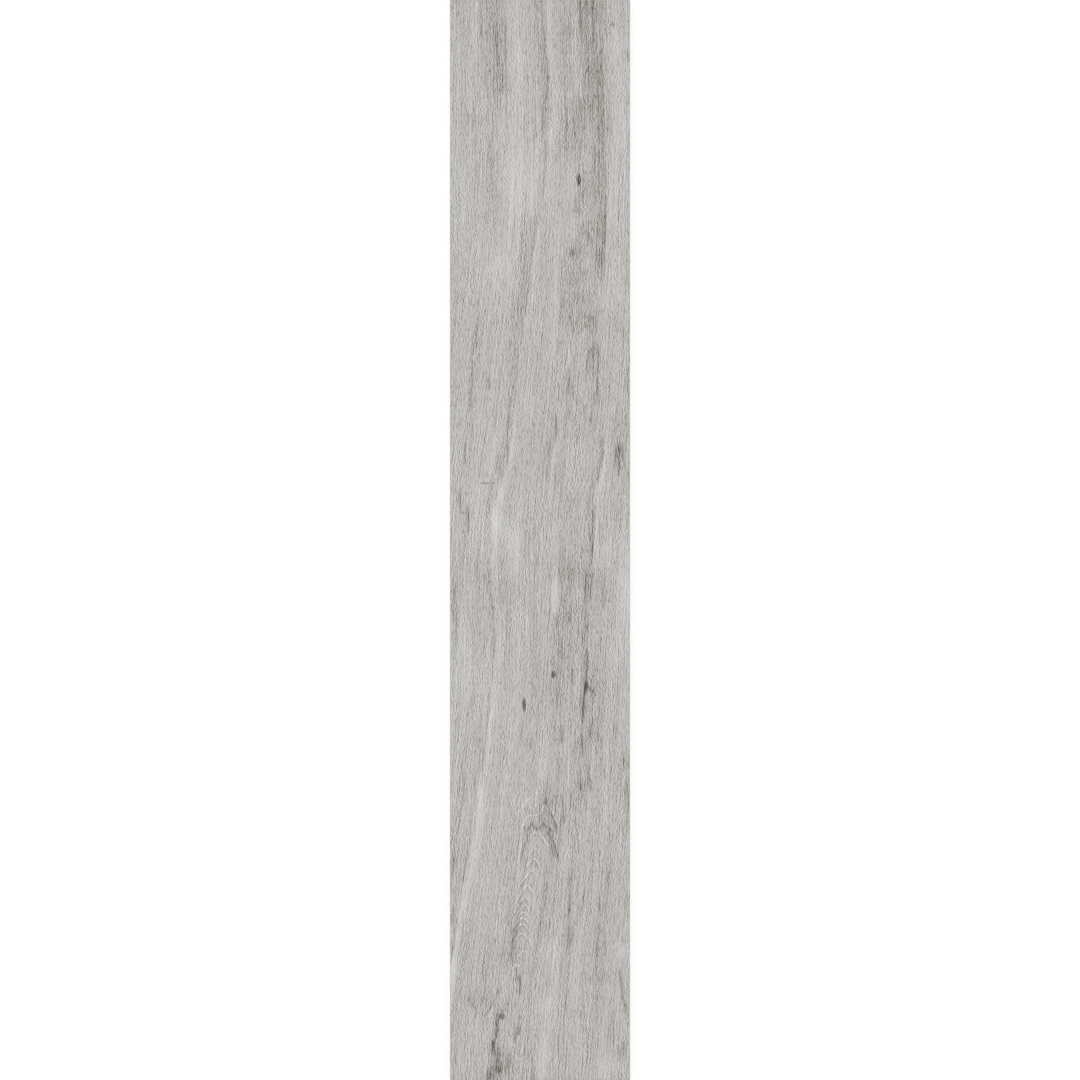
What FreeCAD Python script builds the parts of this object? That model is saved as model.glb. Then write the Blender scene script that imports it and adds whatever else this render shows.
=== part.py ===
"""Wood-look porcelain plank tile: one dry-pressed, fired and edge-ground slab.

The tile lies on its back. The origin is at the centre of the back, +Z points out of
the decorated face and +Y runs along the plank. Lengths are millimetres.
"""

import FreeCAD
import Part

import math
import os

# Driving dimensions of the slab
FACE_LENGTH = 1200.0      # along the wood grain, after the edges are ground
FACE_WIDTH = 200.0        # across the wood grain, after the edges are ground
THICKNESS = 9.5           # back to decorated face
EDGE_BEVEL = 0.6          # micro-bevel that the grinding wheels leave round the face

# Driving dimensions of the waffle pattern pressed into the back, which keys the adhesive
KEY_PITCH = 25.0          # from the middle of one pocket to the middle of the next
KEY_RIB = 5.0             # width of the ribs left standing between pockets
KEY_DEPTH = 0.7           # how far the pocket floors lie above the back plane
KEY_DRAFT_DEG = 40.0      # slope of the pocket walls from the pressing direction
KEY_BORDER_MIN = 10.0     # least width of the plain band round the pattern

# Sizes that follow from them
POCKET_MOUTH = KEY_PITCH - KEY_RIB
POCKET_FLOOR = POCKET_MOUTH - 2 * KEY_DEPTH * math.tan(math.radians(KEY_DRAFT_DEG))


def ground_slab():
    """The plain slab, with the micro-bevel round its decorated face."""
    corner = FreeCAD.Vector(-FACE_WIDTH / 2, -FACE_LENGTH / 2, 0)
    slab = Part.makeBox(FACE_WIDTH, FACE_LENGTH, THICKNESS, corner)
    decorated_face = max(slab.Faces, key=lambda face: face.CenterOfMass.z)
    return slab.makeChamfer(EDGE_BEVEL, decorated_face.Edges)


def square_wire(side, height):
    """A closed square of the given side, centred on the Z axis at that height."""
    half = side / 2
    corners = [(-half, -half), (half, -half), (half, half), (-half, half), (-half, -half)]
    return Part.makePolygon([FreeCAD.Vector(x, y, height) for x, y in corners])


def key_pocket():
    """One pocket of the waffle pattern: widest at the back plane, so it leaves the press."""
    mouth = square_wire(POCKET_MOUTH, 0)
    floor = square_wire(POCKET_FLOOR, KEY_DEPTH)
    return Part.makeLoft([mouth, floor], True, True)


def pocket_middles(span):
    """Where the pockets' middles lie along one side of the tile, as many as fit its border."""
    room = span - 2 * KEY_BORDER_MIN + KEY_RIB
    count = int(room // KEY_PITCH)
    first = -(count - 1) * KEY_PITCH / 2
    return [first + index * KEY_PITCH for index in range(count)]


def key_pattern():
    """Every pocket of the back, as one compound to be pressed into the slab."""
    pocket = key_pocket()
    places = [
        FreeCAD.Vector(x, y, 0)
        for x in pocket_middles(FACE_WIDTH)
        for y in pocket_middles(FACE_LENGTH)
    ]
    return Part.makeCompound([pocket.translated(place) for place in places])


def plank_tile():
    """The finished tile as one solid."""
    pressed = ground_slab().cut(key_pattern())
    return pressed.Solids[0]


if __name__ == "__main__":
    os.makedirs("parts", exist_ok=True)
    plank_tile().exportStep("parts/plank_tile.step")
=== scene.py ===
"""Looks of a wood-look porcelain plank tile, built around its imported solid.

The tile lies on its back with its decorated face up and its head end towards +Y. Blender
lengths are metres. The printed figure is laid out in millimetres on the face: "across"
runs from the left long edge to the right one, and "down" from the head to the foot.
"""

import logging
import math
from collections.abc import Sequence
from dataclasses import astuple, dataclass
from enum import Enum, IntEnum

import bpy
import numpy as np
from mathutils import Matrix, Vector


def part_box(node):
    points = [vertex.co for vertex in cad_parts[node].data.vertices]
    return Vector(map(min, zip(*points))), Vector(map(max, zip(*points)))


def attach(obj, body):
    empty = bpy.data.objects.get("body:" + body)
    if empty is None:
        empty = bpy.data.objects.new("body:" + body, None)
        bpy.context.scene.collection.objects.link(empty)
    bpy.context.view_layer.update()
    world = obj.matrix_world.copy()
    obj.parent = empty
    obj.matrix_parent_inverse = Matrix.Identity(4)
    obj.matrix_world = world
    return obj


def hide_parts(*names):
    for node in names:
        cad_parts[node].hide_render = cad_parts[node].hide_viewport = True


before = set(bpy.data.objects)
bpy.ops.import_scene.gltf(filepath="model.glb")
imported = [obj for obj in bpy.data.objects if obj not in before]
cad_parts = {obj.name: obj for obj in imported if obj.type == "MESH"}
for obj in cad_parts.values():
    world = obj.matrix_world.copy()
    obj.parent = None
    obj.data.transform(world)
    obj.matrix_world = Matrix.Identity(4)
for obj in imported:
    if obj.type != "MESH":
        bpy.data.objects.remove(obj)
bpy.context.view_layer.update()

LOG = logging.getLogger("plank_tile")
MM = 0.001                  # metres in a millimetre
WHITE = 255                 # display level of white


# Node sheets: plain arithmetic on sockets, and one way to add any other node

class Signal:
    """A socket that carries one number for each point, used in plain arithmetic."""

    def __init__(self, sheet: "NodeSheet", socket: bpy.types.NodeSocket) -> None:
        """Keep the socket and the sheet that it is on."""
        self.sheet = sheet
        self.socket = socket

    def __add__(self, other: "Signal | float") -> "Signal":
        """Sum of two signals."""
        return self.sheet.math("ADD", self, other)

    def __radd__(self, other: float) -> "Signal":
        """Sum of a number and a signal."""
        return self.sheet.math("ADD", other, self)

    def __sub__(self, other: "Signal | float") -> "Signal":
        """Difference of two signals."""
        return self.sheet.math("SUBTRACT", self, other)

    def __rsub__(self, other: float) -> "Signal":
        """A number less a signal."""
        return self.sheet.math("SUBTRACT", other, self)

    def __mul__(self, other: "Signal | float") -> "Signal":
        """Product of two signals."""
        return self.sheet.math("MULTIPLY", self, other)

    def __rmul__(self, other: float) -> "Signal":
        """Product of a number and a signal."""
        return self.sheet.math("MULTIPLY", other, self)

    def __truediv__(self, other: "Signal | float") -> "Signal":
        """Quotient of two signals."""
        return self.sheet.math("DIVIDE", self, other)

    def __abs__(self) -> "Signal":
        """Size of a signal without its sign."""
        return self.sheet.math("ABSOLUTE", self)

    def fraction(self) -> "Signal":
        """What lies above the next lower whole number."""
        return self.sheet.math("FRACT", self)

    def held(self, low: float, high: float) -> "Signal":
        """The signal kept between two limits."""
        return self.sheet.math("MINIMUM", self.sheet.math("MAXIMUM", self, low), high)

    def step(self, start: float, end: float) -> "Signal":
        """A soft step from 0 at start to 1 at end, where end may be the lower one.

        Args:
            start: the level at which the step begins.
            end: the level at which it is complete.

        Returns:
            The step, between 0 and 1.
        """
        rising = start < end
        span = {"From Min": min(start, end), "From Max": max(start, end)}
        ends = {"To Min": 0.0 if rising else 1.0, "To Max": 1.0 if rising else 0.0}
        settings = {"interpolation_type": "SMOOTHSTEP"}
        return self.sheet.add("ShaderNodeMapRange", settings, {"Value": self, **span, **ends})


class NodeSheet:
    """A node tree that is written as Python, for a material or for a shape."""

    MIX_SOCKETS = (6, 7, 2)     # first colour, second colour and result of a Mix node
    MOST_SHIFT = 50             # cells by which one column of a grid is shifted at most
    LAYER_STRIDE = 331          # columns from one pattern of cells to the next

    def __init__(self, tree: bpy.types.NodeTree) -> None:
        """Keep the tree and empty it."""
        self.tree = tree
        tree.nodes.clear()

    def add(self, kind: str, settings: dict | None = None, sockets: dict | None = None,
            output: str | int = 0) -> Signal:
        """Add one node of any type.

        Args:
            kind: the node's type.
            settings: the node's own settings, set first. "stops" are a ramp's stops.
            sockets: values or signals by the input's name or number.
            output: name or number of the output to hand on.

        Returns:
            The chosen output.
        """
        node = self.tree.nodes.new(kind)
        for name, value in (settings or {}).items():
            if name == "stops":
                self._set_stops(node.color_ramp, value)
            else:
                setattr(node, name, value)
        for key, value in (sockets or {}).items():
            self.feed(node.inputs[key], value)
        found = node.outputs[output] if node.outputs else None
        return Signal(self, found)

    def feed(self, socket: bpy.types.NodeSocket, value: object) -> None:
        """Link a signal to an input, or set the input to a plain value.

        Args:
            socket: the input.
            value: the signal or the value.
        """
        if isinstance(value, Signal):
            self.tree.links.new(value.socket, socket)
        else:
            socket.default_value = value

    def math(self, operation: str, *terms: Signal | float) -> Signal:
        """Add one Math node on these terms."""
        return self.add("ShaderNodeMath", {"operation": operation}, dict(enumerate(terms)))

    def vector(self, x: Signal | float, y: Signal | float, z: Signal | float = 0.0) -> Signal:
        """Join three numbers to a vector."""
        return self.add("ShaderNodeCombineXYZ", None, {0: x, 1: y, 2: z})

    def parts(self, vector: Signal) -> tuple[Signal, Signal, Signal]:
        """Split a vector into its three numbers."""
        node = self.add("ShaderNodeSeparateXYZ", None, {0: vector}).socket.node
        return tuple(Signal(self, socket) for socket in node.outputs)

    def cells(self, x: Signal, y: Signal, layer: float) -> Signal:
        """A random level for each cell of a grid, whose columns are shifted against each other.

        Args:
            x: first coordinate, one unit to a column.
            y: second coordinate, one unit to a cell.
            layer: which of many patterns, a whole number.

        Returns:
            Levels from -0.5 to 0.5.
        """
        column = self.math("FLOOR", x)
        shift = self._chance(column, layer) * self.MOST_SHIFT
        row = self.math("FLOOR", y + shift)
        return self._chance(column + layer * self.LAYER_STRIDE, row) - 0.5

    def ramp(self, tones: Sequence[tuple], share: Signal) -> Signal:
        """A colour for each share of a ramp.

        Args:
            tones: pairs of a share and a display colour, from dark to pale.
            share: the share at each point.

        Returns:
            The colour.
        """
        stops = [(place, linear(*colour)) for place, colour in tones]
        return self.add("ShaderNodeValToRGB", {"stops": stops}, {"Fac": share})

    def covered(self, under: Signal, over: tuple[int, int, int], share: Signal) -> Signal:
        """Mix a display colour over another colour.

        Args:
            under: the colour below.
            over: the display colour on top.
            share: how much of it covers, from 0 to 1.

        Returns:
            The mixed colour.
        """
        first, second, result = self.MIX_SOCKETS
        sockets = {"Factor": share, first: under, second: linear(*over)}
        return self.add("ShaderNodeMix", {"data_type": "RGBA"}, sockets, result)

    def bumped(self, height: Signal, strength: float, distance: float) -> Signal:
        """A surface direction that follows a fine relief.

        Args:
            height: the relief at each point.
            strength: how much of it shows, from 0 to 1.
            distance: metres that a height of 1 stands for.

        Returns:
            The direction, for a shader's Normal.
        """
        sockets = {"Strength": strength, "Distance": distance, "Height": height}
        return self.add("ShaderNodeBump", None, sockets)

    def _chance(self, x: Signal | float, y: Signal | float) -> Signal:
        """A random number from 0 to 1 for each pair of whole numbers."""
        flat = {"noise_dimensions": "2D"}
        return self.add("ShaderNodeTexWhiteNoise", flat, {"Vector": self.vector(x, y)}, "Value")

    @staticmethod
    def _set_stops(ramp: bpy.types.ColorRamp, stops: Sequence[tuple]) -> None:
        """Give a ramp its stops.

        Args:
            ramp: the ramp.
            stops: pairs of place and colour.
        """
        while len(ramp.elements) > 1:
            ramp.elements.remove(ramp.elements[-1])
        for index, (place, colour) in enumerate(stops):
            element = ramp.elements[0] if index == 0 else ramp.elements.new(place)
            element.position = place
            element.color = colour


class RuleTree(NodeSheet):
    """A Geometry Nodes tree that makes a shape by a rule, with named inputs for its sizes."""

    def __init__(self, name: str) -> None:
        """Make the empty tree, with mesh in and mesh out.

        Args:
            name: the tree's name.
        """
        tree = bpy.data.node_groups.new(name, "GeometryNodeTree")
        super().__init__(tree)
        tree.is_modifier = True
        tree.interface.new_socket("Mesh", in_out="INPUT", socket_type="NodeSocketGeometry")
        tree.interface.new_socket("Mesh", in_out="OUTPUT", socket_type="NodeSocketGeometry")
        self.entry = tree.nodes.new("NodeGroupInput")
        self.values: dict[str, object] = {}

    def size(self, name: str, value: object, kind: str = "NodeSocketFloat") -> Signal:
        """Add a named input and note its value.

        Args:
            name: the input's name.
            value: what the modifier sets it to.
            kind: the input's socket type.

        Returns:
            The input as a signal.
        """
        socket = self.tree.interface.new_socket(name, in_out="INPUT", socket_type=kind)
        self.values[socket.identifier] = value
        return Signal(self, self.entry.outputs[name])

    def carried(self, field: "Field") -> Signal:
        """What the mesh carries for the print."""
        settings = {"data_type": "FLOAT_VECTOR"}
        return self.add("GeometryNodeInputNamedAttribute", settings, {"Name": field.value})

    def finish(self, mesh: Signal, material: Signal) -> None:
        """End the tree in realized instances that wear one material.

        Args:
            mesh: what the tree has made.
            material: its finish.
        """
        real = self.add("GeometryNodeRealizeInstances", None, {"Geometry": mesh})
        worn = self.add("GeometryNodeSetMaterial", None, {"Geometry": real, "Material": material})
        self.add("NodeGroupOutput", None, {"Mesh": worn})

    def made_from(self, mesh: bpy.types.Mesh) -> bpy.types.Mesh:
        """Run the tree on a mesh.

        Args:
            mesh: what goes into the tree.

        Returns:
            The result as a plain mesh.
        """
        holder = bpy.data.objects.new(self.tree.name, mesh)
        bpy.context.scene.collection.objects.link(holder)
        modifier = holder.modifiers.new(self.tree.name, "NODES")
        modifier.node_group = self.tree
        for identifier, value in self.values.items():
            modifier[identifier] = value
        graph = bpy.context.evaluated_depsgraph_get()
        made = bpy.data.meshes.new_from_object(
            holder.evaluated_get(graph), preserve_all_data_layers=True, depsgraph=graph)
        holder.modifiers.remove(modifier)
        bpy.data.objects.remove(holder)
        return made


@dataclass(frozen=True)
class Pattern:
    """Smooth random unevenness of a surface. Lengths are millimetres.

    Attributes:
        wide: size of its spots along the first coordinate.
        long: size of its spots along the second one.
        layer: how far the pattern is shifted, another way for each use.
        detail: how many finer octaves are added.
        roughness: how much of each finer octave is added.
    """

    wide: float
    long: float
    layer: float
    detail: float = 0.0
    roughness: float = 0.5

    SKEW = 0.7                  # shift along the second coordinate for each one along the first

    def on(self, sheet: NodeSheet, first: Signal, second: Signal) -> Signal:
        """Lay the pattern on a pair of coordinates.

        Args:
            sheet: the nodes to add to.
            first: millimetres along the first coordinate.
            second: millimetres along the second one.

        Returns:
            Smooth noise about zero, roughly from -0.5 to 0.5.
        """
        spot = sheet.vector(first / self.wide + self.layer, second / self.long + self.SKEW * self.layer)
        sockets = {"Vector": spot, "Scale": 1.0, "Detail": self.detail, "Roughness": self.roughness}
        return sheet.add("ShaderNodeTexNoise", {"noise_dimensions": "2D"}, sockets) - 0.5


def linear(red: int, green: int, blue: int) -> tuple[float, float, float, float]:
    """A colour as a shader takes it.

    Args:
        red: display level.
        green: display level.
        blue: display level.

    Returns:
        The linear colour, opaque.
    """
    shares = [level / WHITE for level in (red, green, blue)]
    plain = [s / 12.92 if s <= 0.04045 else ((s + 0.055) / 1.055) ** 2.4 for s in shares]
    return (*plain, 1.0)


# The wood figure that is printed and embossed on the face

@dataclass(frozen=True)
class LeanRow:
    """How the grain leans at one place down the face.

    Attributes:
        down: the place, in millimetres from the head.
        left: millimetres that the grain moves right for each one down, at the left edge.
        right: the same at the right edge.
    """

    down: float
    left: float
    right: float


@dataclass(frozen=True)
class Streak:
    """A paler or darker tone that runs along the grain.

    Attributes:
        path: places (across, down) that it follows, from the head downwards.
        left: how far the tone reaches to the left of the path.
        right: how far it reaches to the right.
        change: display levels by which the print gets paler, or darker where negative.
        fade: how far the ends take to fade out.
    """

    path: tuple[tuple[float, float], ...]
    left: float
    right: float
    change: float
    fade: float = 12.0

    def tone(self, across: np.ndarray, down: np.ndarray) -> np.ndarray:
        """Its change of tone on a grid of places.

        Args:
            across: the grid's columns.
            down: the grid's rows.

        Returns:
            Levels, one row of the array for each place down.
        """
        places = np.array(self.path)
        middle = np.interp(down, places[:, 1], places[:, 0])
        past = np.maximum(places[0, 1] - down, 0) + np.maximum(down - places[-1, 1], 0)
        ends = np.exp(-(past / self.fade) ** 2)
        off = across[None, :] - middle[:, None]
        reach = np.where(off < 0, self.left, self.right)
        return self.change * ends[:, None] * np.exp(-(off / reach) ** 2)


@dataclass(frozen=True)
class Patch:
    """A soft paler or darker spot, longer along the grain than across it.

    Attributes:
        across: its middle.
        down: its middle.
        wide: how far it reaches to each side.
        long: how far it reaches up and down.
        change: display levels by which the print gets paler, or darker where negative.
    """

    across: float
    down: float
    wide: float
    long: float
    change: float

    def tone(self, across: np.ndarray, down: np.ndarray) -> np.ndarray:
        """Its change of tone on a grid of places.

        Args:
            across: the grid's columns.
            down: the grid's rows.

        Returns:
            Levels, one row of the array for each place down.
        """
        below = (down - self.down)[:, None] / self.long
        beside = (across - self.across)[None, :] / self.wide
        return self.change * np.exp(-beside ** 2 - below ** 2)


@dataclass(frozen=True)
class Arch:
    """A pointed arch, where a growth ring of the wood is cut nearly flat.

    Attributes:
        across: place of its top.
        down: place of its top.
        left: millimetres that the left leg drops for each one across.
        right: the same for the right leg.
        blunt: how far from the top the legs take to reach these slopes.
        shows: how strongly it is printed, pale with a dark inside, or the reverse where negative.
    """

    across: float
    down: float
    left: float
    right: float
    blunt: float
    shows: float


@dataclass(frozen=True)
class Rings:
    """The growth rings that pass from each arch to the next.

    Attributes:
        arches: the arches, from the head downwards.
        legs: how far below their tops the left and the right legs fade out.
    """

    arches: tuple[Arch, ...]
    legs: tuple[float, float]

    ROUNDS = 14             # times that the ring at each place is worked out more closely
    LEAST_CHANGE = 0.02     # of a ring to a millimetre, where rings lie farthest apart
    FIRST = (-3, -1)        # millimetres from the first arch where the rings begin, and show in full
    LAST = (4, 1)           # the same at the last arch

    def drawn(self, across: np.ndarray, down: np.ndarray) -> tuple[np.ndarray, np.ndarray, np.ndarray]:
        """Which ring passes through each place of a grid.

        Args:
            across: the grid's columns.
            down: the grid's rows.

        Returns:
            The ring's number, whole on each arch, the millimetres from one ring to the next,
            and how strongly the ring is printed.
        """
        table = np.array([astuple(arch) for arch in self.arches])
        middles, levels, lefts, rights, blunts, shows = table.T
        low = down[:, None] + np.zeros_like(across)[None, :]
        level = low.copy()
        for _ in range(self.ROUNDS):
            beside = across[None, :] - np.interp(level, levels, middles)
            slopes = [np.interp(level, levels, side) for side in (lefts, rights)]
            slope = np.where(beside < 0, *slopes)
            blunt = np.interp(level, levels, blunts)
            drop = slope * (np.hypot(beside, blunt) - blunt)
            level = 0.5 * (level + low - drop)
        number = np.interp(level, levels, np.arange(len(levels)))
        change = np.hypot(*np.gradient(number, down, across))
        leg = np.where(beside < 0, *self.legs)
        within = soft_step(level - levels[0], *self.FIRST) * soft_step(level - levels[-1], *self.LAST)
        strength = np.interp(level, levels, shows) * within * np.exp(-(drop / leg) ** 2)
        return number, 1 / np.maximum(change, self.LEAST_CHANGE), strength


@dataclass(frozen=True)
class Line:
    """A thin line of the print, which may run any way across the face.

    Attributes:
        path: places (across, down) that it joins.
        change: display levels by which the print gets paler, or darker where negative.
        wide: how far it reaches to each side.
        fade: how far its ends take to fade out.
    """

    path: tuple[tuple[float, float], ...]
    change: float
    wide: float = 1.0
    fade: float = 2.5

    REACH = (1.6, 0.6)      # millimetres beyond its width where it begins to be noted, and is in full
    TIE = 0.01              # share of the way beside a run that decides where two runs are as near

    def drawn(self, places: np.ndarray) -> tuple[np.ndarray, np.ndarray]:
        """How the line lies to each place of a grid.

        Args:
            places: the grid's places, across and down.

        Returns:
            Millimetres to the nearest place on the line, and for each place the millimetres
            beside the line, its change of level and its width.
        """
        spots = np.array(self.path, dtype=float)
        last = len(spots) - 2
        nearest = np.full(places.shape[:2], np.inf)
        drawn = np.zeros((*places.shape[:2], 3))
        for index, (start, end) in enumerate(zip(spots, spots[1:])):
            length = math.dist(start, end)
            way = (end - start) / length
            along = (places - start) @ way
            beside = (places - start) @ np.array([way[1], -way[0]])
            before, after = np.maximum(-along, 0), np.maximum(along - length, 0)
            beyond = before * (index == 0) + after * (index == last)
            off = np.copysign(np.hypot(beside, before + after - beyond), beside)
            distance = np.hypot(beside, before + after)
            noted = soft_step(np.abs(off) - self.wide, *self.REACH)
            ends = np.exp(-(beyond / self.fade) ** 2) * noted
            distance = distance - self.TIE * np.abs(beside)
            closer = distance < nearest
            nearest = np.where(closer, distance, nearest)
            facts = np.stack([off, self.change * ends, np.full_like(off, self.wide)], axis=-1)
            drawn = np.where(closer[..., None], facts, drawn)
        return nearest, drawn


class Knot(Patch):
    """A pin knot or a pale eye: a patch with a sharp rim."""


@dataclass(frozen=True)
class CrossCheck:
    """A fine dotted mark straight across the grain.

    Attributes:
        start: where it begins across the face.
        end: where it ends across the face.
        down: where it lies down the face.
        thick: how far it reaches up and down.
        change: display levels by which the print gets paler, or darker where negative.
    """

    start: float
    end: float
    down: float
    thick: float
    change: float


def soft_step(values: np.ndarray, start: float, end: float) -> np.ndarray:
    """A smooth step on plain numbers.

    Args:
        values: the numbers.
        start: where the step begins.
        end: where it is complete.

    Returns:
        Shares from 0 to 1.
    """
    share = np.clip((values - start) / (end - start), 0, 1)
    return share * share * (3 - 2 * share)


LEANS = (
    LeanRow(0, 0.00, 0.02),
    LeanRow(120, 0.02, 0.03),
    LeanRow(220, -0.06, -0.02),
    LeanRow(330, -0.13, -0.04),
    LeanRow(520, -0.16, -0.08),
    LeanRow(620, -0.03, -0.05),
    LeanRow(700, 0.00, -0.04),
    LeanRow(800, -0.12, -0.03),
    LeanRow(900, -0.14, -0.05),
    LeanRow(1050, -0.16, -0.05),
    LeanRow(1200, -0.06, -0.03),
)

# What the print shows, each kind from the head to the foot: soft tones first
SOFT_STREAKS = (
    Streak(((50, 0), (51, 50), (54, 95)), 13, 9, -14, 14),
    Streak(((73, 0), (75, 60), (78, 120)), 9, 9, 7, 25),
    Streak(((103, 0), (105, 50), (108, 80), (109, 110), (105, 150)), 12, 1.8, -13, 12),
    Streak(((109, 0), (111, 50), (115, 85), (116, 140)), 2.5, 4, 6, 20),
    Streak(((139, 0), (140, 50), (142, 100)), 3, 2.5, 8, 15),
    Streak(((155, 0), (156, 40), (158, 80)), 13, 12, -22, 20),
    Streak(((29, 0), (29, 55)), 3, 3, 6, 12),
    Streak(((186, 35), (188, 120), (182, 200)), 10, 14, 6, 30),
    Streak(((168, 75), (169, 120), (171, 170), (172, 245)), 14, 2.0, -16, 25),
    Streak(((105, 150), (104, 195), (101, 240)), 3, 1.5, -6, 12),
    Streak(((172, 240), (171, 270), (170, 305)), 7, 1.8, -16, 8),
    Streak(((97, 240), (91, 275), (87, 315), (83, 345)), 5, 1.5, -11, 12),
    Streak(((77, 240), (75, 272)), 3, 3, 8, 15),
    Streak(((148, 254), (154, 266), (163, 280)), 4, 4, -14, 7),
    Streak(((98, 262), (94, 300), (92, 330)), 2, 4, 6, 15),
    Streak(((30, 335), (29, 360), (27, 378)), 3.5, 2.5, -10, 10),
    Streak(((118, 338), (115, 382)), 2, 3, 6, 12),
    Streak(((78, 355), (74, 395), (71, 430), (66, 465), (63, 495)), 6, 3, -9, 25),
    Streak(((164, 390), (163, 425), (162, 442)), 4, 3, -8, 8),
    Streak(((25, 398), (25, 425), (22, 452)), 2.5, 2, -10, 10),
    Streak(((131, 414), (131, 432)), 3, 3, -8, 6),
    Streak(((119, 466), (118, 482)), 3, 2, -9, 6),
    Streak(((72, 480), (68, 510), (64, 535), (57, 548)), 4, 4, 9, 10),
    Streak(((50, 480), (44, 522)), 6, 5, 6, 12),
    Streak(((17, 488), (16, 512)), 2.5, 2.5, -7, 8),
    Streak(((169, 488), (167, 508), (163, 530)), 4, 2.5, -11, 8),
    Streak(((110, 500), (107, 528)), 2, 2, -8, 8),
    Streak(((118, 505), (113, 530), (111, 560)), 2.5, 2.5, 8, 10),
    Streak(((168, 530), (164, 570), (164, 622)), 3, 4, 8, 14),
    Streak(((99, 535), (92, 566)), 2, 2, 6, 8),
    Streak(((47, 540), (43, 560), (42, 588)), 4, 2, -9, 12),
    Streak(((56, 548), (51, 562), (50, 592), (51, 622)), 5, 5, 9, 10),
    Streak(((160, 570), (158, 600), (157, 632)), 2.5, 1.5, -13, 8),
    Streak(((1, 600), (2, 640), (4, 680)), 3, 4, -10, 14),
    Streak(((42, 640), (45, 656), (47, 690), (49, 725), (46, 752), (43, 790)), 4, 1.8, -10, 8),
    Streak(((170, 640), (169, 692)), 2, 2, -8, 6),
    Streak(((51, 645), (54, 690), (54, 720), (50, 760), (47, 790), (41, 845), (33, 880)), 3, 3.5, 9, 14),
    Streak(((5, 660), (7, 702)), 3, 3, -7, 10),
    Streak(((150, 680), (149, 722)), 5, 5, -9, 10),
    Streak(((151, 735), (151, 757)), 3, 3, -9, 6),
    Streak(((150, 740), (147, 800), (146, 880)), 8, 8, -9, 14),
    Streak(((160, 798), (155, 818)), 2.5, 2.5, -13, 5),
    Streak(((80, 803), (76, 840), (70, 866)), 2, 2, -8, 8),
    Streak(((34, 880), (30, 925), (25, 960), (18, 990), (13, 1015)), 5, 5.5, 13, 10),
    Streak(((124, 880), (126, 910)), 3, 3, -8, 6),
    Streak(((111, 904), (118, 920)), 3, 2.5, -13, 5),
    Streak(((110, 924), (113, 935), (117, 948)), 4, 3, -22, 5),
    Streak(((86, 924), (82, 940), (80, 950)), 3, 2.5, -11, 6),
    Streak(((126, 925), (123, 962)), 2.5, 3, 5, 10),
    Streak(((132, 965), (132, 985)), 2.5, 2.5, -6, 5),
    Streak(((107, 985), (106, 1000), (104, 1018), (100, 1036)), 4, 3.5, -9, 7),
    Streak(((150, 990), (145, 1016)), 3, 3, -8, 8),
    Streak(((132, 996), (132, 1015)), 3, 3, -6, 5),
    Streak(((78, 1004), (73, 1024), (70, 1042)), 3.5, 3, -11, 6),
    Streak(((12, 1020), (7, 1050), (3, 1090), (1, 1110)), 6, 5, 14, 14),
    Streak(((133, 1034), (133, 1052), (130, 1120)), 2, 2, -7, 8),
    Streak(((163, 1040), (162, 1076)), 3, 3, -10, 10),
    Streak(((40, 1060), (36, 1086)), 3, 3, -8, 8),
    Streak(((191, 1090), (192, 1105), (195, 1119)), 3, 3, -10, 4),
    Streak(((52, 1106), (45, 1118), (38, 1127)), 3, 3, -10, 5),
    Streak(((22, 1108), (28, 1122), (34, 1128)), 3, 3, -9, 5),
    Streak(((53, 1132), (51, 1149)), 4, 3, -20, 4),
    Streak(((144, 1140), (141, 1182)), 3, 3, 5, 10),
)

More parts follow.
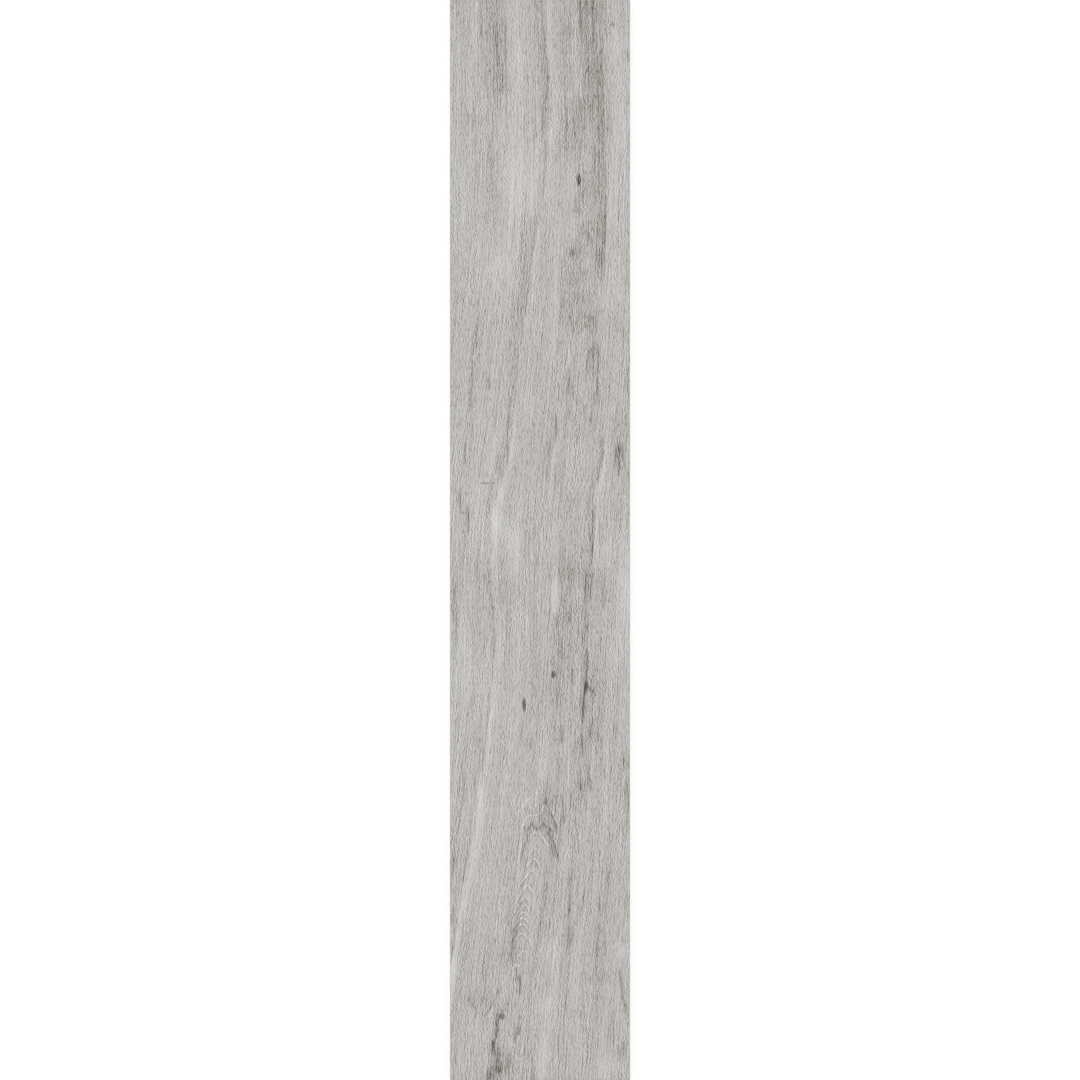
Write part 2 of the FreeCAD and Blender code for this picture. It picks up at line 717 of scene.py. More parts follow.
SOFT_PATCHES = (
    Patch(155, 4, 14, 12, -8),
    Patch(150, 8, 8, 12, -10),
    Patch(3, 8, 7, 10, -8),
    Patch(195, 20, 5, 40, -8),
    Patch(15, 20, 12, 20, -3),
    Patch(147, 28, 4, 8, -11),
    Patch(175, 30, 7, 12, -6),
    Patch(34, 36, 3, 7, -8),
    Patch(55, 38, 6, 16, -7),
    Patch(129, 38, 8, 20, -9),
    Patch(153, 48, 6, 10, -8),
    Patch(64, 50, 8, 16, -4),
    Patch(188, 50, 9, 9, 5),
    Patch(75, 62, 7, 16, 5),
    Patch(198, 62, 3, 4, -14),
    Patch(162, 66, 12, 18, 7),
    Patch(130, 78, 8, 18, -5),
    Patch(59, 84, 5, 12, -6),
    Patch(1, 90, 4, 10, -11),
    Patch(198, 112, 5, 18, -8),
    Patch(163, 115, 6, 12, -14),
    Patch(150, 118, 11, 18, -15),
    Patch(130, 118, 9, 26, -7),
    Patch(177, 125, 7, 36, -6),
    Patch(23, 132, 12, 12, -6),
    Patch(164, 142, 6, 8, -9),
    Patch(134, 148, 9, 19, -12),
    Patch(56, 150, 5, 14, 5),
    Patch(105, 152, 9, 14, 6),
    Patch(132, 166, 9, 24, -8),
    Patch(160, 170, 4, 12, -8),
    Patch(199, 176, 4, 18, -9),
    Patch(75, 198, 17, 48, 11),
    Patch(45, 198, 8, 32, -6),
    Patch(118, 200, 14, 40, 3),
    Patch(158, 206, 9, 18, -9),
    Patch(88, 214, 9, 24, 5),
    Patch(146, 218, 6, 20, -10),
    Patch(108, 220, 6, 30, 5),
    Patch(124, 224, 8, 14, -4),
    Patch(136, 228, 8, 14, -5),
    Patch(47, 236, 11, 22, -5),
    Patch(177, 236, 6, 16, 7),
    Patch(157, 262, 7, 11, -13),
    Patch(138, 278, 9, 12, -11),
    Patch(136, 280, 3.6, 8, -14),
    Patch(150, 282, 6, 4, -8),
    Patch(167, 286, 4, 10, -16),
    Patch(56, 296, 20, 24, 5),
    Patch(134, 300, 8, 10, -5),
    Patch(150, 304, 5, 5, -9),
    Patch(53, 305, 5, 18, 5),
    Patch(199, 312, 4, 13, -12),
    Patch(138, 312, 5, 8, -12),
    Patch(186, 312, 12, 28, 6),
    Patch(143, 325, 18, 50, -8),
    Patch(140, 330, 5, 8, -10),
    Patch(151, 333, 5, 8, -11),
    Patch(127, 336, 3, 5, -10),
    Patch(142, 350, 16, 26, -5),
    Patch(135, 353, 9, 8, -8),
    Patch(157, 356, 6, 8, -18),
    Patch(185, 356, 14, 14, -5),
    Patch(158, 365, 7, 11, -9),
    Patch(137, 368, 3, 4, -14),
    Patch(195, 372, 6, 10, -10),
    Patch(160, 392, 6, 10, -15),
    Patch(154, 405, 6, 13, -11),
    Patch(198, 420, 5, 17, -12),
    Patch(43, 425, 2.5, 8, -10),
    Patch(73, 430, 5, 24, -4),
    Patch(133, 432, 6, 8, -9),
    Patch(132, 434, 8, 13, -7),
    Patch(157, 440, 8, 10, -6),
    Patch(92, 452, 11, 26, 7),
    Patch(149, 456, 4, 6, -8),
    Patch(132, 462, 4, 6, -7),
    Patch(155, 466, 4, 6, -8),
    Patch(190, 472, 10, 18, -7),
    Patch(145, 472, 24, 24, -5),
    Patch(22, 474, 8, 9, -7),
    Patch(188, 503, 4.5, 9, -27),
    Patch(53, 515, 3, 10, -14),
    Patch(187, 520, 3, 5, -14),
    Patch(121, 525, 8, 22, -8),
    Patch(58, 527, 3, 5, -12),
    Patch(198, 530, 4, 8, -12),
    Patch(28, 552, 10, 16, 5),
    Patch(11, 556, 2.5, 10, -11),
    Patch(130, 560, 14, 30, -6),
    Patch(155, 560, 3, 10, -13),
    Patch(19, 575, 3, 10, -12),
    Patch(188, 578, 9, 16, -6),
    Patch(52, 580, 13, 19, 11),
    Patch(51, 585, 4, 16, 5),
    Patch(114, 588, 6, 10, 7),
    Patch(48, 590, 6, 40, -4),
    Patch(167, 590, 6, 22, -5),
    Patch(1, 590, 5, 25, 6),
    Patch(32, 590, 8, 42, 6),
    Patch(191, 595, 8, 18, 5),
    Patch(63, 597, 7, 19, 9),
    Patch(174, 602, 11, 20, 5),
    Patch(75, 617, 10, 24, 6),
    Patch(32, 632, 17, 12, -7),
    Patch(132, 632, 12, 15, -8),
    Patch(137, 640, 7, 9, -13),
    Patch(113, 642, 6, 12, -5),
    Patch(42, 645, 4, 8, -10),
    Patch(153, 650, 4.5, 18, -15),
    Patch(137, 650, 20, 58, -6),
    Patch(182, 650, 9, 45, 4),
    Patch(197, 655, 9, 34, 14),
    Patch(172, 657, 10, 15, -6),
    Patch(117.5, 661, 6, 20, 6),
    Patch(60, 662, 24, 14, -7),
    Patch(143, 662, 4, 8, 7),
    Patch(130, 664, 4, 9, -9),
    Patch(131, 683, 4, 10, -17),
    Patch(124, 686, 11, 14, -5),
    Patch(172, 690, 7, 22, 6),
    Patch(10, 690, 8, 16, 5),
    Patch(117, 692, 8, 6, -10),
    Patch(190, 706, 9, 20, 6),
    Patch(14, 716, 8, 26, 10),
    Patch(123, 728, 9, 21, -12),
    Patch(182, 728, 12, 15, 6),
    Patch(30, 730, 12, 20, 5),
    Patch(138, 735, 5, 10, 7),
    Patch(160, 752, 7, 12, -11),
    Patch(20, 756, 19, 20, 8),
    Patch(148, 757, 6, 12, 8),
    Patch(128, 760, 14, 35, -5),
    Patch(150, 762, 4, 8, -14),
    Patch(115, 766, 8, 16, -7),
    Patch(141, 766, 4, 14, 6),
    Patch(157, 768, 4, 4, -15),
    Patch(160, 776, 7, 12, -8),
    Patch(119, 778, 2.5, 12, -8),
    Patch(50, 782, 14, 17, 6),
    Patch(148, 785, 3.5, 13, -14),
    Patch(24, 812, 7, 14, 6),
    Patch(120, 812, 12, 14, -5),
    Patch(183, 812, 4, 12, -8),
    Patch(160, 815, 8, 15, -9),
    Patch(125, 818, 3, 6, -9),
    Patch(32, 826, 7, 20, -11),
    Patch(88, 828, 4, 6, -8),
    Patch(146, 829, 5, 9, -17),
    Patch(65, 844, 6, 12, -5),
    Patch(196, 848, 6, 11, -14),
    Patch(127, 852, 8, 14, -10),
    Patch(170, 856, 5, 6, -6),
    Patch(27, 862, 4, 12, -7),
    Patch(154, 868, 3, 7, -14),
    Patch(145, 873, 3.5, 7, -14),
    Patch(14, 876, 4, 18, -7),
    Patch(196, 878, 5, 13, -12),
    Patch(28, 880, 5, 14, -7),
    Patch(107, 882, 11, 17, -11),
    Patch(199, 888, 5, 12, -12),
    Patch(142, 889, 3, 6, -9),
    Patch(108, 889, 3, 5, -12),
    Patch(130, 890, 12, 18, -6),
    Patch(87, 890, 5, 7, 8),
    Patch(97, 892, 4, 7, -8),
    Patch(105, 903, 9, 18, -8),
    Patch(178, 905, 8, 14, 4),
    Patch(36, 905, 8, 20, 4),
    Patch(101, 907, 18, 15, -8),
    Patch(197, 912, 4, 18, -6),
    Patch(103, 916, 6, 4, -8),
    Patch(91, 918, 5.5, 4, -5),
    Patch(97, 922, 7, 8, -6),
    Patch(124, 926, 10, 17, -9),
    Patch(5, 955, 6, 12, -10),
    Patch(90, 958, 10, 8, -5),
    Patch(174, 975, 8, 13, -7),
    Patch(38, 980, 10, 22, 4),
    Patch(129, 1000, 10, 60, -6),
    Patch(199, 1000, 4, 11, -8),
    Patch(168, 1006, 5, 8, -11),
    Patch(82, 1012, 8, 40, -6),
    Patch(66, 1012, 3, 8, -7),
    Patch(2, 1018, 5, 9, -16),
    Patch(12, 1022, 6, 13, -9),
    Patch(71, 1031, 8, 22, -11),
    Patch(71, 1036, 5, 11, -11),
    Patch(131, 1042, 7, 13, -7),
    Patch(167, 1044, 8, 28, -5),
    Patch(44, 1048, 4, 14, -8),
    Patch(1, 1053, 4, 6, -22),
    Patch(190, 1056, 7, 8, 10),
    Patch(69, 1058, 4, 9, -13),
    Patch(110, 1058, 7, 16, 12),
    Patch(66, 1062, 18, 18, -5),
    Patch(68, 1063, 9, 12, -6),
    Patch(2, 1078, 8, 17, 6),
    Patch(199, 1082, 4, 13, -9),
    Patch(188, 1082, 4, 7, -10),
    Patch(167, 1087, 13, 6, -8),
    Patch(77, 1090, 3.5, 9, -9),
    Patch(30, 1098, 8, 25, -5),
    Patch(160, 1105, 5, 6, -7),
    Patch(33, 1106, 9, 10, -7),
    Patch(36, 1108, 3, 4, -10),
    Patch(115, 1112, 7, 22, -5),
    Patch(26, 1113, 5, 8, -10),
    Patch(105, 1115, 9, 13, 6),
    Patch(62, 1117, 9, 7, -7),
    Patch(108, 1118, 11, 15, 5),
    Patch(56, 1126, 5, 6, -18),
    Patch(198, 1128, 4, 6, -12),
    Patch(86, 1130, 12, 24, 5),
    Patch(179, 1140, 7, 15, -7),
    Patch(77, 1142, 3, 6, -12),
    Patch(72, 1152, 2.5, 5, -12),
    Patch(48, 1162, 5, 6, -25),
    Patch(193, 1167, 4, 9, -13),
    Patch(53, 1170, 5, 6, -21),
    Patch(104, 1175, 7, 23, 9),
    Patch(66, 1178, 6, 13, -6),
    Patch(52, 1180, 8, 18, -8),
    Patch(51, 1185, 8, 8, -24),
    Patch(66, 1186, 4, 10, -14),
    Patch(174, 1187, 13, 12, 10),
    Patch(44, 1198, 8, 8, -23),
    Patch(93, 1198, 5, 5, -10),
)

# Streaks and cracks that the fibres break up
SHARP_MARKS = (
    Streak(((187, 492), (188, 522)), 1.5, 1.3, -40, 5),
    Streak(((155, 583), (155, 599)), 1.0, 1.0, -26, 4),
    Streak(((169, 586), (169, 602)), 1.0, 1.0, -22, 4),
    Streak(((153, 694), (153, 700)), 1.0, 1.0, -30, 3),
    Streak(((145, 776), (145, 780)), 1.0, 1.0, -24, 3),
    Streak(((155, 848), (155, 856)), 1.0, 1.0, -28, 4),
    Streak(((156, 865), (156, 874)), 1.0, 1.0, -30, 4),
    Streak(((38, 1064), (36, 1086)), 1.0, 1.0, -20, 5),
    Streak(((52, 1132), (51, 1150)), 1.5, 1.3, -22, 5),
    Streak(((48, 1158), (52, 1174)), 1.8, 1.6, -22, 4),
    Streak(((193, 1160), (192, 1168)), 1.0, 1.0, -30, 3),
    Streak(((45, 1190), (45, 1200)), 1.2, 1.2, -32, 3),
)

RINGS = Rings((
    Arch(95, 926, 2.6, 2.4, 11.0, 0.4),
    Arch(95, 942.5, 1.2, 2.2, 1.8, 0.7),
    Arch(94, 953.8, 1.2, 2.3, 1.8, 0.8),
    Arch(91.5, 967, 1.4, 2.6, 2.5, 0.9),
    Arch(86, 983.8, 1.8, 2.2, 3.0, 0.9),
    Arch(83.3, 996.3, 1.75, 2.1, 2.0, 0.8),
    Arch(83, 1005, 1.6, 2.1, 2.5, 0.8),
    Arch(82, 1013.4, 1.5, 1.8, 4.0, 0.9),
    Arch(80.7, 1019.5, 1.5, 1.6, 4.0, 1.0),
    Arch(80.4, 1026.2, 1.8, 1.7, 4.0, 0.9),
    Arch(80, 1036.7, 2.0, 1.7, 4.0, 0.8),
    Arch(79, 1049, 2.0, 1.8, 4.0, 0.25),
), (18, 9))

# Thin lines that keep their edges
THIN_LINES = (
    Line(((54, 0), (54, 12)), -15),
    Line(((101, 0), (101, 12)), -20, 1.2),
    Line(((126, 0), (126, 8)), -17),
    Line(((143.5, 0), (144.5, 20), (147, 38), (147.5, 46)), -17, 1.8),
    Line(((60.5, 13), (61.5, 30)), -16),
    Line(((102.5, 19), (103, 30)), -16),
    Line(((133.5, 28), (134, 41)), -16),
    Line(((35, 30), (35.3, 40)), -24, 1.1),
    Line(((56, 30), (56, 46)), -19, 1.1),
    Line(((163.5, 32), (164, 70)), 19),
    Line(((104.8, 35), (105, 59)), -25),
    Line(((61.5, 36), (61.2, 52), (61.8, 71)), -28),
    Line(((50.5, 36), (51.5, 52), (52.8, 69)), -25, 1.1),
    Line(((98.5, 38), (99.3, 64)), -17),
    Line(((172, 40), (171.6, 58)), 16),
    Line(((168.4, 52), (168.2, 66), (168.8, 80)), -29),
    Line(((197, 57), (197, 66)), -17),
    Line(((108, 68), (109.2, 86), (108.2, 98), (107.2, 110)), -25, 1.1),
    Line(((134.5, 76), (134.8, 88)), -16),
    Line(((145, 78), (145.2, 106)), 20),
    Line(((62.3, 78), (63, 106)), -16),
    Line(((150.5, 80), (151, 95)), -16),
    Line(((38.9, 80), (39.8, 96)), -19),
    Line(((85.8, 84), (86.2, 90)), -24),
    Line(((163.8, 90), (163.6, 104)), -16),
    Line(((81, 97), (81.5, 120)), -17),
    Line(((158.2, 108), (158.4, 122)), -24),
    Line(((94, 112), (95, 128), (95, 150)), -16),
    Line(((144.8, 114), (145, 124), (147.3, 140), (147.2, 150)), -25),
    Line(((103, 122), (102.5, 146)), -17, 1.4),
    Line(((82.6, 130), (82.6, 148)), -19),
    Line(((24.8, 131), (25, 142)), -16),
    Line(((129.5, 131), (129.8, 143)), -17),
    Line(((175.3, 133), (175, 150)), -19),
    Line(((112.5, 147), (112.6, 158)), 16),
    Line(((27, 153), (27.2, 161)), -17),
    Line(((107.2, 158), (106, 175), (104.8, 192), (103.7, 218)), -20, 1.2),
    Line(((43.6, 160), (42, 175)), -16),
    Line(((145.5, 160), (143.8, 178), (142.8, 190)), -20),
    Line(((160.6, 162), (160.9, 174), (160.5, 192)), -29, 1.1),
    Line(((46.6, 178), (47, 187)), -19),
    Line(((189.5, 178), (187.7, 198)), -15),
    Line(((30.4, 182), (29.6, 200)), -17),
    Line(((172, 185), (171.8, 208)), -17),
    Line(((11.8, 194), (12, 207)), 19),
    Line(((97.6, 199), (97.4, 217)), -15),
    Line(((148.1, 200), (148.2, 213)), -20),
    Line(((6, 209), (6.2, 215)), -17),
    Line(((188, 211), (187.4, 224), (188, 241)), -27, 1.1),
    Line(((173, 220), (172.7, 252), (171.8, 271)), -25, 1.2),
    Line(((139.2, 222), (139.3, 235)), -37),
    Line(((40.5, 236), (40.6, 242)), -25),
    Line(((139.3, 243), (139.4, 251)), -25),
    Line(((96, 244), (95, 262), (92, 276), (89.5, 292), (88, 312)), -16, 1.4),
    Line(((89.3, 244), (89.5, 256)), -19),
    Line(((71.5, 245), (71.6, 260)), -19),
    Line(((163.7, 250), (163.9, 260)), -20),
    Line(((80.3, 256), (80.5, 264)), -24),
    Line(((145, 257), (150, 253), (155.5, 257), (159.5, 263)), 20),
    Line(((57, 258), (57.2, 268)), -16),
    Line(((146.5, 261.5), (151.5, 257), (155, 263.5), (158.8, 268.5)), -20, 1.2),
    Line(((78.5, 282), (79.5, 302), (80.3, 330)), -15),
    Line(((168.2, 282), (168.4, 294)), -48, 1.0),
    Line(((177, 287), (177.4, 296)), -17),
    Line(((123.6, 295), (124, 308)), -17),
    Line(((53.9, 299), (53.3, 310)), -17),
    Line(((163, 307), (166, 326)), 15),
    Line(((59.2, 312), (59.2, 320)), -16),
    Line(((88, 313), (86, 328), (84, 346)), -20, 1.2),
    Line(((158.3, 325), (160, 335)), 17),
    Line(((127.3, 331), (127.5, 340)), -24, 1.1),
    Line(((124, 342), (122.5, 358)), -16),
    Line(((134, 347), (133.8, 355)), -19),
    Line(((146, 352.5), (153, 352), (158, 357), (161, 364)), -12, 1.7),
    Line(((80.3, 357), (79.5, 367), (79.1, 381)), -25),
    Line(((137, 358), (137.2, 371)), -24),
    Line(((146, 358.5), (152, 356.5), (156.5, 360), (160.5, 368)), 20),
    Line(((30.3, 362), (29.8, 374), (29.2, 386)), -29, 1.2),
    Line(((143.5, 370), (148, 364.5), (152.5, 361.5), (155.5, 364.5), (157.3, 372)), -19, 1.1),
    Line(((24.4, 375), (24, 391)), -15),
    Line(((145, 377), (148.5, 370.5), (152.5, 368), (155, 373)), 20),
    Line(((118.3, 377), (118.4, 387)), -16),
    Line(((107.4, 378), (107.5, 386)), -20),
    Line(((134, 380), (134.4, 392)), -16),
    Line(((158, 382), (158.5, 399)), -28),
    Line(((93.9, 385), (91.5, 403), (89.7, 411)), -17),
    Line(((163.8, 388), (164.2, 402), (163.2, 418)), -20),
    Line(((154.8, 389), (152.5, 402), (150.5, 412), (150.8, 421)), -27, 1.3),
    Line(((132, 390), (132.2, 404)), 17),
    Line(((75.2, 395), (74.9, 421)), -19),
    Line(((137.3, 397), (138, 409)), -29, 1.1),
    Line(((25, 403), (24.5, 428)), -25, 1.2),
    Line(((131.6, 415), (132.4, 423)), -24),
    Line(((43.6, 421), (43.8, 432)), -20, 1.1),
    Line(((163.7, 423), (164.3, 436)), -37),
    Line(((23.6, 432), (23, 442), (22.4, 453)), -29, 1.1),
    Line(((177.5, 433), (177.6, 442)), -17),
    Line(((160.2, 438), (160, 447)), -24),
    Line(((166.1, 438), (165.9, 449)), -24),
    Line(((66.3, 441), (65, 456), (64.4, 472), (63.9, 488)), -17, 1.2),
    Line(((158, 451), (156.2, 469)), -20),
    Line(((149.6, 452), (148.2, 463)), -19),
    Line(((131.7, 455), (131.8, 461), (134, 468), (137.5, 467.5), (139.5, 474)), -17, 1.1),
    Line(((51.7, 458), (50.6, 470), (50.3, 478)), -24),
    Line(((118.4, 467), (118.1, 480), (117.7, 487)), -48, 1.1),
    Line(((142.2, 480), (141, 491)), -17),
    Line(((101.4, 484), (101.4, 494)), -17),
    Line(((168.2, 489), (168.8, 496)), -24, 1.2),
    Line(((111.6, 489), (110.4, 508), (107, 530)), -24, 1.1),
    Line(((63.9, 492), (63.8, 506), (63.3, 514)), -39, 1.1),
    Line(((17.2, 494), (16.7, 504), (17.2, 514)), -37, 1.2),
    Line(((191, 495), (191.3, 507)), -34, 1.3),
    Line(((184.6, 499), (183.4, 513)), -34, 1.3),
    Line(((104.8, 499), (105, 509)), -16),
    Line(((169.2, 502), (167.8, 511), (165.9, 521), (163.8, 532)), -39, 1.4),
    Line(((54.4, 504), (53, 514), (51.6, 523.5)), -28, 1.1),
    Line(((192.3, 509), (195, 522)), -28, 1.1),
    Line(((171.7, 511), (171.8, 521)), 16),
    Line(((72.9, 518), (72.8, 530)), -16),
    Line(((158.4, 526), (157.2, 536), (154.8, 549)), -25, 1.1),
    Line(((117, 529), (116.5, 538)), -20),
    Line(((160.2, 538), (159.8, 550)), -20),
    Line(((12, 545), (11.4, 556), (11.8, 567)), -41, 1.2),
    Line(((158.4, 551), (158.6, 563)), -27, 1.1),
    Line(((166.1, 552), (166.2, 565)), -20),
    Line(((153.9, 553), (152.4, 576)), -27, 1.1),
    Line(((133.9, 557), (133.9, 563)), -20),
    Line(((43.8, 561), (43.7, 568)), -27),
    Line(((19.2, 566), (20.8, 574), (21.2, 582), (20.4, 591)), -29, 1.3),
    Line(((159.4, 568), (159, 582)), -37, 1.5),
    Line(((133.8, 571), (135.2, 586), (135, 604)), -16),
    Line(((111.9, 573), (112, 585)), -17),
    Line(((166, 575), (166.3, 602)), -19),
    Line(((92.5, 576), (93.5, 589)), -16, 1.2),
    Line(((158.2, 584), (158.6, 601)), -25, 1.5),
    Line(((158.8, 603), (157.8, 616)), -49, 1.3),
    Line(((99.5, 607), (97.5, 619), (95.9, 628), (94, 642)), -20, 1.1),
    Line(((157.6, 619), (157.4, 625)), -28, 1.1),
    Line(((145, 622), (145, 645)), 16),
    Line(((163, 629), (166, 645)), -16),
    Line(((110.6, 633), (110.2, 642)), -20),
    Line(((72.8, 635), (72.9, 672)), -15),
    Line(((150.6, 636), (150.8, 650), (149.5, 669)), -37, 1.2),
    Line(((131.6, 637), (133.4, 656)), -17, 1.4),
    Line(((158.2, 639), (156.3, 652), (155.7, 665)), -44, 1.1),
    Line(((123.5, 642), (123.8, 665), (122, 676), (118.5, 684)), -20),
    Line(((169.8, 644), (169.9, 676)), -19, 1.2),
    Line(((162.8, 644), (162.8, 653)), -24),
    Line(((112, 648), (111.4, 664), (112, 676)), -12),
    Line(((6.1, 653), (5, 672)), -20, 1.2),
    Line(((145, 659), (145, 672)), 19),
    Line(((97, 660), (97, 679)), 15),
    Line(((47, 662), (47.8, 680), (48.5, 697), (49.8, 712), (49.2, 720)), -17, 1.4),
    Line(((131.9, 667), (131.8, 675)), 17),
    Line(((110.7, 680), (110.4, 690), (107.8, 700)), -25, 1.2),
    Line(((7.8, 682), (7, 694), (6, 717)), -17, 1.5),
    Line(((133.8, 683), (131, 692)), -24, 1.3),
    Line(((118.4, 684), (118.2, 692)), -20),
    Line(((86.1, 689), (86.1, 701)), 17),
    Line(((150.2, 691), (150.5, 699)), -24),
    Line(((193.9, 699), (193.6, 711)), -17),
    Line(((147.2, 702), (147.4, 711)), -24),
    Line(((24.8, 703), (25.2, 716), (24.6, 731)), -16, 1.1),
    Line(((38.3, 709), (38.4, 719)), -24, 1.1),
    Line(((167.2, 710), (167.3, 722)), -25, 1.1),
    Line(((72.6, 712), (72.6, 719)), -17),
    Line(((123.9, 713), (124, 725)), -17),
    Line(((131.7, 718), (131.8, 743)), -19),
    Line(((152.9, 725), (152.2, 742), (151.6, 750), (150.8, 758)), -42, 1.2),
    Line(((135.9, 737), (136, 750)), -20),
    Line(((96.2, 737), (96.2, 744)), -20),
    Line(((152, 759), (154.5, 764), (158.4, 768.8)), -44, 1.3),
    Line(((150.8, 760), (149.2, 770), (148.4, 780), (147.6, 790), (148.2, 798)), -49, 1.8),
    Line(((118.9, 763), (119, 785)), -17),
    Line(((93.8, 763), (93.9, 772)), -20),
    Line(((44, 771), (42.8, 786), (41.8, 800), (39.7, 816)), -15, 1.3),
    Line(((147.8, 800), (146, 813)), -17, 1.3),
    Line(((158.6, 800), (156.5, 810), (155.7, 818)), -24, 1.2),
    Line(((163.8, 803), (162.8, 814)), -19, 1.1),
    Line(((81.5, 803), (79.3, 815), (77.5, 824), (74.8, 832)), -16, 1.3),
    Line(((57.5, 806), (60.2, 818)), -14, 1.2),
    Line(((27, 809), (27.2, 823)), -16),
    Line(((123.7, 811), (124.2, 824)), -20, 1.2),
    Line(((146.8, 817), (147.3, 839)), -37, 1.3),
    Line(((91.2, 819), (90.3, 829)), -19, 1.1),
    Line(((86.4, 822), (85.6, 836)), -19, 1.1),
    Line(((139.4, 826), (139.1, 845)), -25),
    Line(((157.2, 828), (156, 843)), -16),
    Line(((123.8, 829), (124, 839)), 17),
    Line(((36.8, 831), (36.1, 853)), -24, 1.2),
    Line(((62.4, 834), (63, 851)), -16),
    Line(((192.8, 842), (193, 853)), -25, 1.1),
    Line(((131.9, 845), (131.7, 873)), 17, 0.9),
    Line(((32.9, 848), (32.6, 858)), -19, 1.1),
    Line(((171.3, 853), (171.4, 859)), -24),
    Line(((144.8, 855), (145.2, 879)), -27, 1.3),
    Line(((152.9, 857), (152.8, 872)), -24, 1.1),
    Line(((27.3, 865), (27.1, 874)), -24, 1.1),
    Line(((16.2, 867), (15.8, 880)), -20, 1.1),
    Line(((196, 869), (196, 875)), -27),
    Line(((29.6, 879), (27.2, 898)), -19, 1.2),
    Line(((133.7, 879), (133.8, 897)), -20, 1.1),
    Line(((96, 881), (95, 892)), 26),
    Line(((54.9, 884), (54.8, 893)), -19),
    Line(((124.2, 884), (126, 897)), -19, 1.1),
    Line(((15, 885), (13.7, 898)), -20, 1.1),
    Line(((89, 886), (84.5, 890.5), (80.5, 896), (77.5, 901)), 26),
    Line(((107, 888), (108.5, 894)), -30, 1.5),
    Line(((198.3, 891), (198.3, 900)), -24),
    Line(((104, 896), (102, 901), (98.5, 904.8), (90, 905.5), (86, 907), (83.5, 910), (81, 916)), 30),
    Line(((139.4, 898), (139.5, 915)), -19),
    Line(((112.5, 899), (115, 904), (117, 909)), 32),
    Line(((126.1, 901), (126.4, 913)), -37, 1.1),
    Line(((25.6, 902), (23.6, 918), (21, 942), (18.4, 954)), -15, 1.1),
    Line(((166.4, 903), (166.1, 917)), -19, 1.1),
    Line(((11.4, 904), (11.4, 912)), -17),
    Line(((112.5, 905), (115.5, 911), (118.3, 918)), -38, 1.2),
    Line(((190.5, 915), (193.6, 929)), -19, 1.1),
    Line(((98, 921), (101, 918), (104, 914.5), (108, 919), (113, 923)), -34, 1.3),
    Line(((86, 922), (91.5, 914.8), (94.3, 920)), -40, 1.2),
    Line(((109, 926), (113, 931), (116, 938), (118, 945), (120.5, 954)), -36, 1.3),
    Line(((89.5, 926), (85.5, 932), (82.5, 938), (80.8, 946), (79.8, 956)), -34, 0.9),
    Line(((165.5, 929), (165.8, 943)), -16, 1.1),
    Line(((131.8, 929), (131.8, 947)), 16, 0.9),
    Line(((87, 929), (83.5, 934), (79.5, 938), (77, 948), (75.5, 958)), 22),
    Line(((104, 931), (106, 935), (109, 939)), 26),
    Line(((142.9, 935), (142.7, 946)), -25, 1.1),
    Line(((166.2, 945), (165.9, 951)), -39, 1.2),
    Line(((5.8, 948), (4.2, 963), (1.8, 978), (1, 990)), -19, 1.2),
    Line(((113.6, 950), (113, 964)), -24, 1.2),
    Line(((165.6, 953), (165.3, 963)), -20, 1.1),
    Line(((17.6, 955), (16.6, 964), (14.6, 977)), -24, 1.2),
    Line(((104.9, 962), (104.8, 971)), -19),
    Line(((135, 966), (135, 972)), -20),
    Line(((59.4, 976), (59.4, 984)), -19),
    Line(((131.7, 977), (131.7, 987)), -28, 1.2),
    Line(((107.8, 983), (106.2, 997), (103.2, 1012), (101.4, 1027), (99.8, 1046)), -14, 1.3),
    Line(((131.8, 995), (131.9, 1005)), -20, 1.2),
    Line(((166.2, 999), (166.3, 1016)), -17, 1.1),
    Line(((131.8, 1008), (131.7, 1017)), -30, 1.2),
    Line(((4, 1009), (3.6, 1025)), -16, 1.3),
    Line(((144.5, 1009), (144.5, 1015)), -20),
    Line(((14.2, 1012), (14, 1022)), -17),
    Line(((110.7, 1023), (110.6, 1030)), -20),
    Line(((165.6, 1026), (164.4, 1042), (163.7, 1066)), -17, 1.1),
    Line(((136.6, 1030), (136, 1044)), -19, 1.1),
    Line(((187.5, 1030), (186.5, 1041)), -20, 1.1),
    Line(((5.6, 1032), (4.6, 1046), (2.6, 1058), (1, 1067)), -27, 1.3),
    Line(((131.9, 1033), (132.3, 1056)), -10, 1.5),
    Line(((69.8, 1044), (69.3, 1053)), -26, 1.3),
    Line(((171.7, 1047), (171.8, 1059)), -25, 1.1),
    Line(((79, 1058), (81, 1056), (83.5, 1056.5)), 34, 0.9, 1.5),
    Line(((75, 1061.5), (78.5, 1061)), 20, 1.0, 1.5),
    Line(((42.5, 1063), (40.4, 1078), (39.5, 1092), (38.6, 1102)), -24, 1.1),
    Line(((124, 1063), (123.6, 1075), (122.2, 1087)), -19, 1.1),
    Line(((62.8, 1066), (62.8, 1073)), -19),
    Line(((48.2, 1073), (48.3, 1087)), -20),
    Line(((70, 1075), (72.5, 1072), (77, 1072)), 30, 0.9, 1.5),
    Line(((74, 1077), (73.8, 1085)), -39, 1.1),
    Line(((188, 1080), (190.6, 1092), (191.5, 1104), (193, 1113), (195, 1123)), -26, 1.8),
    Line(((54.7, 1083), (54.9, 1102)), -17),
    Line(((77.3, 1085), (77.8, 1092)), -48, 1.6),
    Line(((72, 1087.5), (72.6, 1088.5)), -37, 1.2, 1.5),
    Line(((77.8, 1095), (77.6, 1102)), -42, 1.5),
    Line(((157.4, 1096), (156.6, 1110), (155, 1122), (153.4, 1129), (153, 1139)), 17, 0.9),
    Line(((130.2, 1100), (128.9, 1112), (128.3, 1125)), -19, 1.1),
